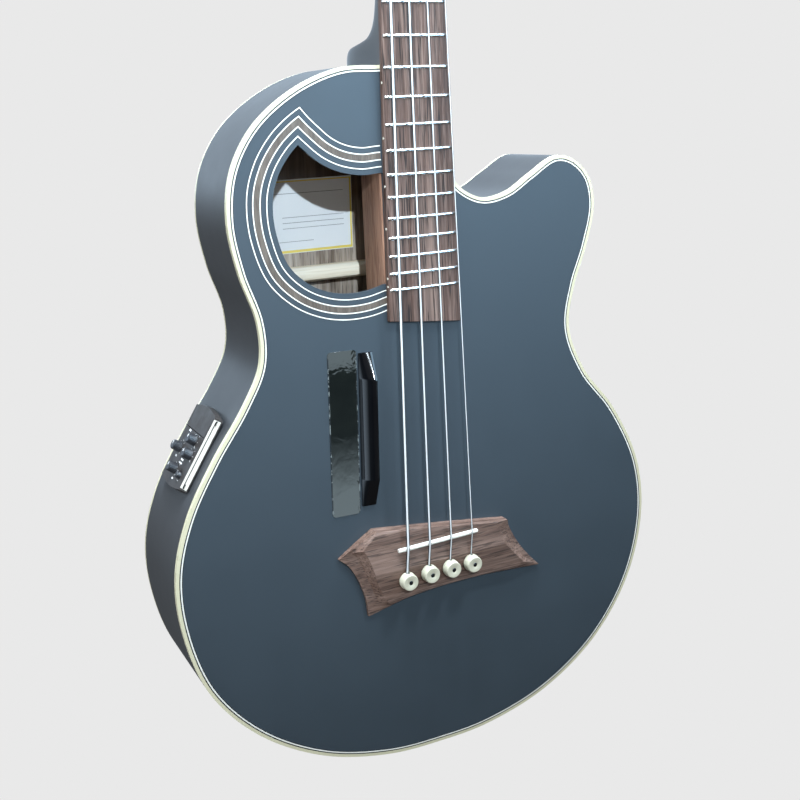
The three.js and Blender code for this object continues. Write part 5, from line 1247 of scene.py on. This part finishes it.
def preamp_pieces():
    form = loft_form([
        panel_ring(-0.9, PANEL_HALF_DEPTH, 0), panel_ring(-PANEL_EDGE, PANEL_HALF_DEPTH, 0),
        panel_ring(-PANEL_HEIGHT, PANEL_HALF_DEPTH - PANEL_BEVEL, 0.8),
    ])
    knobs = {
        name: (y * PANEL_HALF_DEPTH, z * PANEL_HALF_LENGTH) for name, (y, z) in KNOB_SHARES.items()
    }
    button = (BUTTON_SHARES[0] * PANEL_HALF_DEPTH, BUTTON_SHARES[1] * PANEL_HALF_LENGTH)
    across = spin(90, "Z")
    bores = [(1.95, place) for place in knobs.values()] + [(3.15, button)]
    bores = [placed(bore_form(r, -20, 20, 32), move(0, *place) @ across) for r, place in bores]
    deep = DRAWER_HALF_DEPTH
    mouth = box_form((-14, -deep, DRAWER_SEAM), (14, deep, 70))
    deep -= DRAWER_GAP
    around = [
        box_form((-14, -60, -60), (14, 60, DRAWER_SEAM + DRAWER_GAP)),
        box_form((-14, -60, -60), (14, -deep, 60)),
        box_form((-14, deep, -60), (14, 60, 60)),
    ]
    for name, node, body, tools in (
        ("panel", "preamp_panel", "instrument", [mouth, *bores]),
        ("drawer_lid", None, "battery_tray", around),
    ):
        piece = make(name, form, PANEL, node, body, PREAMP, 20)
        cut(piece, tools, PREAMP)
        soften(piece, 0.4, angle=30)
    tray = joined(box_form(*TRAY_FLOOR), box_form(*TRAY_END))
    make("drawer_tray", tray, KNOB, "battery_drawer", "battery_tray", PREAMP)
    cell = box_form(*CELL)
    cell = make("battery_cell", cell, BATTERY, "battery", "battery_tray", PREAMP)
    soften(cell, 1.6, 3)
    for name, place in knobs.items():
        knob_pieces(name, move(0, *place))
    cap = [(0, -2.5), (2.8, -2.5), (2.8, 9.2), (2.5, 9.75), (1.8, 9.95), (0, 10.0)]
    cap = placed(lathe_form(cap, 32), move(0, *button) @ across)
    make("button_cap", cap, KNOB, "preamp_button", "button", PREAMP)
    strip_pieces()
    tick_piece(knobs.values(), button)


def knob_pieces(name, at):
    """A ribbed cap on a plain shaft, and its pointer line."""
    rings = []
    for height, radius, depth in (
        (6.85, 4.4, 0.0), (7.1, 4.4, 0.22), (12.4, 4.0, 0.22), (13.2, 3.75, 0.0), (13.75, 3.2, 0.0),
    ):
        reach = (radius, radius - depth)
        rings.append([
            (-height, reach[k % 2] * c, reach[k % 2] * s) for k, (c, s) in enumerate(circle(48))
        ])
    shaft = placed(bore_form(1.6, -2.5, 7.0, 20), spin(90, "Z"))
    form = placed(joined(loft_form(rings), shaft), at)
    body = f"knob_{name}"
    make(f"cap_{name}", form, KNOB, body, body, PREAMP, 25)
    line = placed(box_form((-13.95, -0.3, 0.6), (-13.7, 0.3, 3.0)), at)
    make(f"cap_line_{name}", line, MARK, body=body, at=PREAMP)


def tick_piece(knobs, button):
    """Scale ticks round the knobs, except over the drawer, and plain bars."""
    ticks = []
    (back, front), (near, far), half = TICK_X, TICK_REACH, TICK_HALF_WIDTH
    for y, z in knobs:
        for degrees in range(-135, 136, 45):
            if z + far * math.cos(math.radians(degrees)) < TICK_TOP:
                tick = box_form((back, -half, near), (front, half, far))
                ticks.append(placed(tick, move(0, y, z) @ spin(degrees, "X")))
    for y, z, wide, tall in MARK_BARS:
        low = Vector((MARK_X, y - wide / 2, z - tall / 2))
        ticks.append(box_form(low, low + Vector((0.12, wide, tall))))
    y, z = button
    ticks.append(box_form((back, y - 1.6, z - 4.6), (front, y + 1.6, z - 4.1)))
    make("panel_ticks", joined(*ticks), MARK, at=PREAMP)


def strip_form(low, high, lows, heights, taper):
    """A thin strip along the panel's front bevel, between two places and two lifts."""
    rings = []
    for z in heights:
        ring = []
        for y, lift in ((low, lows[0]), (low, lows[1]), (high, lows[1]), (high, lows[0])):
            share = (PANEL_HALF_DEPTH + y) / PANEL_BEVEL
            x = -PANEL_EDGE - PANEL_BULGE * share
            ring.append((x - lift * 0.67, y - lift * 0.74, z * (1 - taper * share)))
        rings.append(ring)
    return loft_form(rings)


def strip_pieces():
    """The bright strip along the panel's front edge, a line on it and its screws."""
    strip = strip_form(-28.9, -24.9, (0.0, 0.14), spread(-29.6, 29.6, 12), 0.012)
    make("panel_strip", strip, TRIM, at=PREAMP)
    line = strip_form(-26.7, -26.15, (0.1, 0.2), (-27.0, 27.0), 0)
    make("panel_strip_line", line, PANEL, at=PREAMP)
    slope = Matrix.Rotation(math.pi / 2 - math.atan2(PANEL_BULGE, PANEL_BEVEL), 4, "Z")
    screws = [placed(screw_form(2.0, 0.5), move(-4.2, -26.9, z) @ slope) for z in (-27.2, 27.2)]
    make("panel_screws", joined(*screws), DOT_BLACK, at=PREAMP)


preamp_pieces()


# --- strap pins and jack

PIN_PROFILE = [
    (0, -22), (1.2, -22), (2.6, -19), (2.6, 0.1), (7.2, 0.1), (7.2, 1.2), (6.8, 2.0), (5.4, 3.0),
    (4.7, 4.4), (4.6, 6.4), (4.9, 8.2), (6.4, 10.2), (8.4, 11.4), (9.0, 12.2), (9.0, 13.1),
    (8.7, 13.7), (8.1, 14.0), (2.9, 14.0), (2.6, 13.4), (0, 13.4),
]
PIN_LENGTH = 14.0
JACK_PROFILE = [
    (0, 31), (3.4, 31), (3.4, -2.0), (3.8, -2.6), (8.5, -2.6), (9.2, -2.2), (9.5, -1.5),
    (9.5, -0.1), (6.2, -0.1), (6.2, 36), (0, 36),
]


def fitting_pieces():
    low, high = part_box("strap_button")
    middle = (low + high) / 2 / MM
    heel = move(high.x / MM - PIN_LENGTH, middle.y, middle.z) @ spin(-90, "Z")
    for name, node, profile, place, at in (
        ("tail_pin", "end_pin", PIN_PROFILE, move(0, 40, 0) @ spin(-90, "X"), BODY),
        ("heel_button", "strap_button", PIN_PROFILE, heel, Matrix.Identity(4)),
        ("jack", "output_jack", JACK_PROFILE, move(0, 74, 0) @ spin(90, "X"), BODY),
    ):
        make(name, placed(lathe_form(profile, 56), place), CHROME, node, at=at)


fitting_pieces()


# --- tuners, in the headstock's frame

PLATE_Y = HEAD_THICKNESS + 0.1
PLATE_THICK = 2.4
WORM_Y = HEAD_THICKNESS + 0.3 + PLATE_THICK + 0.35 + 2.5
WORM_RISE = 9.5 + 4.3 + 0.35
EAR_RADIUS = 5.6
POST_PROFILE = [
    (0, -20.2), (3.6, -20.2), (5.2, -20.9), (6.4, -20.6), (7.0, -19.8), (7.0, -17.6),
    (6.6, -16.8), (5.0, -16.2), (4.8, -12), (5.0, -6), (5.0, 18.0), (8.2, 18.05), (8.2, 23.05),
    (2.4, 23.05), (2.4, 24.2), (0, 24.2),
]
KEY_PROFILE = [
    (0, -11.2), (2.4, -11.2), (2.8, -10.8), (2.8, -8.25), (3.2, -8.2), (3.2, 8.2), (2.8, 8.25),
    (2.8, 20.0), (3.9, 20.4), (4.2, 21.6), (3.6, 23.0), (2.7, 24.0), (2.4, 27), (0, 27),
]
GEAR_TEETH = 20
GEAR_TIP = 9.4
GEAR_ROOT = 8.3
PLATE_HALF_WIDTH = 12.5
PLATE_BELOW = 18
PLATE_ABOVE = 22
PLATE_BORE_RADIUS = 5.4
EAR_SPACING = 9.9
EAR_HALF_WIDTH = 1.3
WORM_HALF_LENGTH = 7.4
WORM_RADIUS = 3.2
LEAF_START = 23.2
LEAF_LENGTH = 20.0
LEAF_HALF_WIDTH = 12.0


def washer_form(inner, outer, low, high, sides=48):
    """A flat ring about Y with eased edges."""
    profile = [(inner, high), (inner, low + 0.3), (inner + 0.3, low), (outer - 0.5, low),
               (outer, low + 0.5), (outer, high), (inner, high)]
    return loft_form([[(r * c, y, r * s) for c, s in circle(sides)] for r, y in profile], False)


def plate_pieces(name, x, z):
    """A plate with two ears that carry the worm, and four screws."""
    left, right, low, high = x - PLATE_HALF_WIDTH, x + PLATE_HALF_WIDTH, z - PLATE_BELOW, z + PLATE_ABOVE
    ring = [(left, low), (right, low), (right, high), (left, high)]
    form = prism_form(ring, PLATE_Y, PLATE_Y + PLATE_THICK)
    plate = make(f"plate_{name}", form, CHROME, f"tuner_base_{name}", at=HEAD)
    cut(plate, [placed(bore_form(PLATE_BORE_RADIUS, 0, 30, 40), move(x, 0, z))], HEAD)
    soften(plate, 0.6, angle=40)
    worm_z = z + WORM_RISE
    foot = PLATE_Y + 2.3
    arch = [(WORM_Y + EAR_RADIUS * s, worm_z - EAR_RADIUS * c) for c, s in arc(math.pi, 12)]
    profile = [(foot, worm_z - EAR_RADIUS), *arch, (foot, worm_z + EAR_RADIUS)]
    ears = [
        loft_form([
            [(x + end + side * EAR_HALF_WIDTH, y, w) for y, w in profile] for side in (-1, 1)
        ])
        for end in (-EAR_SPACING, EAR_SPACING)
    ]
    holder = make(f"ears_{name}", joined(*ears), CHROME, at=HEAD)
    bore = placed(bore_form(3.1, -20, 20, 28), move(x, WORM_Y, worm_z) @ spin(90, "Z"))
    cut(holder, [bore], HEAD)
    screws = [
        placed(screw_form(2.4, 1.3), move(x + u, PLATE_Y + PLATE_THICK, z + w) @ spin(180, "X"))
        for u in (-9.2, 9.2) for w in (-14.6, 4.2)
    ]
    make(f"plate_screws_{name}", joined(*screws), CHROME, at=HEAD)


def post_pieces(name, x, z):
    """A slotted post with its toothed wheel."""
    body = f"post_{name}"
    form = placed(lathe_form(POST_PROFILE), move(x, 0, z))
    post = make(body, form, CHROME, f"tuner_post_{name}", body, HEAD, 40)
    cut(post, [box_form((x - 20, -40, z - 1.6), (x + 20, -16.5, z + 1.6))], HEAD)
    ring = []
    for k in range(GEAR_TEETH * 4):
        r = GEAR_TIP if k % 4 in (0, 1) else GEAR_ROOT
        turn = 2 * math.pi * (k + 0.5) / (GEAR_TEETH * 4)
        ring.append((x + r * math.cos(turn), z + r * math.sin(turn)))
    make(f"gear_{name}", prism_form(ring, 18.15, 22.95), BRASS, body=body, at=HEAD)


def key_piece(name, side, x, z):
    """A worm, its shaft and the leaf that the fingers turn."""
    turns, steps = 5, 24
    worm = [
        (WORM_HALF_LENGTH * (2 * k / (turns * steps) - 1), WORM_RADIUS * c, WORM_RADIUS * s)
        for k, (c, s) in enumerate(arc(2 * math.pi * turns, turns * steps))
    ]
    core = placed(lathe_form(KEY_PROFILE, 32), spin(-90, "Z"))
    half = [(LEAF_START + a, b) for a, b in scaled(LEAF_SHARES, LEAF_LENGTH, LEAF_HALF_WIDTH)]
    half = catmull([*half, (LEAF_START + LEAF_LENGTH, 0)], 5)
    ring = half + [(a, -b) for a, b in half[:-1]][::-1]
    leaf = capped_loft([
        [(a, y, b) for a, b in inset(ring, pull)]
        for y, pull in (
            (-1.8, 1.6), (-1.45, 0.5), (-0.6, 0.0), (0.6, 0.0), (1.45, 0.5), (1.8, 1.6)
        )
    ])
    at = move(x, WORM_Y, z + WORM_RISE)
    if side < 0:
        at = at @ spin(180, "Y")
    form = placed(joined(tube_form(worm, 1.05, 8), core, leaf), at)
    body = f"key_{name}"
    make(body, form, CHROME, f"tuner_{body}", body, HEAD, 40)


for name, (side, z) in TUNERS.items():
    plate_pieces(name, side * TUNER_X, z)
    post_pieces(name, side * TUNER_X, z)
    key_piece(name, side, side * TUNER_X, z)
    washer = placed(washer_form(5.5, 7.8, -1.7, -0.05), move(side * TUNER_X, 0, z))
    make(f"bushing_{name}", washer, CHROME, at=HEAD)


# --- stage, lights and camera, in metres

FLOOR_Z = -0.6
FLOOR_REACH = 4.0
SWEEP_RADIUS = 2.0
BACKGROUND = 0.815
SWEEP_SIDES = 64
EYE = (-0.40301, -0.80789, 0.5628)
YAW, PITCH, ROLL = (math.radians(angle) for angle in (-26.229, -14.816, -2.646))
LENS = 48.78
ROOM_STOPS = [
    (0.0, (0.09, 0.09, 0.09)), (0.45, (0.1, 0.1, 0.1)), (0.5, (0.15, 0.155, 0.16)),
    (0.62, (0.2, 0.21, 0.22)), (1.0, (0.3, 0.32, 0.335)),
]


def stage_piece(name, form, colour, strength, only_camera):
    """A glowing sheet for the camera's eye alone, or for reflections alone."""
    glow = Shader(
        name, Base_Color=(0, 0, 0), Roughness=1.0, Specular_IOR_Level=0.0, Emission_Color=colour,
        Emission_Strength=strength,
    )
    mesh = bpy.data.meshes.new(name)
    mesh.from_pydata(form[0], [], form[1])
    mesh.materials.append(glow.material)
    piece = add_object(name, mesh)
    piece.visible_diffuse = False
    piece.visible_glossy = not only_camera
    piece.visible_camera = only_camera
    piece.visible_transmission = False
    piece.visible_volume_scatter = False
    piece.visible_shadow = False
    return glow


def stage():
    """A pale floor that sweeps up all round into a pale wall."""
    profile = [(0.0, FLOOR_Z), (FLOOR_REACH, FLOOR_Z)]
    profile += [
        (FLOOR_REACH + SWEEP_RADIUS * s, FLOOR_Z + SWEEP_RADIUS - SWEEP_RADIUS * c)
        for c, s in arc(math.pi / 2, 12)[1:]
    ]
    profile += [(6.0, 6.0), (3.0, 8.0), (0.0, 8.2)]
    rings = [[(r * c, r * s, z) for c, s in circle(SWEEP_SIDES)] for r, z in profile]
    stage_piece("studio_sweep", loft_form(rings, False), (1, 1, 1), BACKGROUND, True)


def card(name, centre, facing, size, colour, strength, stops, axis="Z"):
    """A card that only reflections see, with brightness stops along one axis."""
    centre = Vector(centre)
    forward = (Vector(facing) - centre).normalized()
    right = forward.cross(Vector((0, 0, 1))).normalized()
    up = right.cross(forward)
    points = [
        tuple(centre + right * (sx * size[0] / 2) + up * (sz * size[1] / 2))
        for sx, sz in ((-1, -1), (1, -1), (1, 1), (-1, 1))
    ]
    glow = stage_piece(name, (points, [(0, 1, 2, 3)]), colour, strength, False)
    place = glow.split(glow.coordinates["Generated"], axis)
    tones = [(at, [value * c for c in colour]) for at, value in stops]
    glow.link(glow.ramp(place, tones), "Emission Color")


def lamp(name, kind, place, target, power, colour):
    data = bpy.data.lights.new(name, kind)
    data.energy = power
    data.color = colour
    made = add_object(name, data)
    made.location = place
    toward = Vector(target) - Vector(place)
    made.rotation_euler = toward.to_track_quat("-Z", "Y").to_euler()
    return made


def lights():
    world = bpy.data.worlds.new("room")
    bpy.context.scene.world = world
    world.use_nodes = True
    room = Nodes(world.node_tree)
    height = room.split(room.node("ShaderNodeTexCoord").outputs["Generated"], "Z")
    background = room.tree.nodes["Background"]
    room.put(room.ramp(room.span(height, -1.0, 1.0), ROOM_STOPS), background.inputs["Color"])
    room.put(1.0, background.inputs["Strength"])
    for name, place, target, size, power, colour in (
        ("overhead", (-0.35, -0.25, 1.25), (-0.1, 0, 0.55), (0.5, 0.4), 9, (0.88, 1.0, 1.1)),
        ("ceiling", (0.1, -0.13, 2.4), (0.0, -0.05, 0.4), (1.0, 0.14), 80, (0.9, 1.0, 1.1)),
        ("window", (0.42, -0.62, 1.55), (0.0, 0.0, 0.45), (0.16, 0.16), 15, (0.9, 1.0, 1.06)),
        ("fill", (-0.9, -2.2, 0.5), (-0.1, 0.0, 0.45), (0.6, 0.6), 4.2, (1.0, 0.9, 0.76)),
        ("left", (-1.5, -0.1, -0.1), (-0.2, 0, 0.22), (0.8, 0.4), 11, (0.94, 1.0, 1.05)),
    ):
        made = lamp(name, "AREA", place, target, power, colour)
        made.data.shape = "RECTANGLE"
        made.data.size, made.data.size_y = size
        made.visible_camera = False
        made.visible_glossy = name != "left"
    # A small spot throws crisp shadows into the soundhole and fades toward the tail
    key = lamp("key", "SPOT", (-0.47, -1.66, 1.22), (-0.1, 0, 0.57), 122, (0.84, 0.97, 1.06))
    key.data.shadow_soft_size = 0.02
    key.data.spot_size = math.radians(36.5)
    key.data.spot_blend = 1.0
    card("sheen_card", (1.05, -2.0, 1.25), (0.0, 0.0, 0.6), (2.0, 1.9), (0.66, 1.0, 1.3), 7.0,
         [(0.0, 1.0), (0.55, 1.0), (1.0, 0.72)], "X")
    card("rear_card", (0.1, 2.0, 1.35), (0.1, 0.0, 1.35), (3.4, 1.7), (0.78, 1.0, 1.22), 1.9,
         [(0.0, 0.6), (0.06, 1.2), (0.25, 0.75), (0.5, 0.58), (1.0, 0.54)])
    card("left_card", (-2.0, -0.75, -0.15), (0.0, -0.75, -0.15), (2.5, 2.7), (0.8, 1.0, 1.2), 3.0,
         [(0.0, 0.01), (0.42, 0.04), (0.62, 0.5), (0.85, 1.0)], "Y")
    card("film_card", (0.556, -2.0, -0.285), (0.556, 0.0, -0.285), (0.5, 0.67), (0.8, 1.0, 1.1),
         2.6, [(0.0, 0.9), (0.21, 0.85), (0.3, 0.45), (0.38, 0.2), (0.45, 0.03), (0.735, 0.01),
               (0.742, 0.65), (0.77, 0.75), (1.0, 0.75)])


def camera():
    data = bpy.data.cameras.new("camera")
    data.lens = LENS
    data.sensor_width = 36.0
    data.clip_end = 50.0
    level = math.cos(PITCH)
    forward = Vector((-math.sin(YAW) * level, math.cos(YAW) * level, math.sin(PITCH)))
    right = forward.cross(Vector((0, 0, 1))).normalized()
    up = right.cross(forward)
    right, up = (
        right * math.cos(ROLL) + up * math.sin(ROLL),
        up * math.cos(ROLL) - right * math.sin(ROLL),
    )
    eye = add_object("camera", data)
    eye.matrix_world = move(*EYE) @ Matrix((right, up, -forward)).transposed().to_4x4()
    bpy.context.scene.camera = eye


stage()
lights()
camera()
bpy.context.scene.view_settings.view_transform = "Standard"
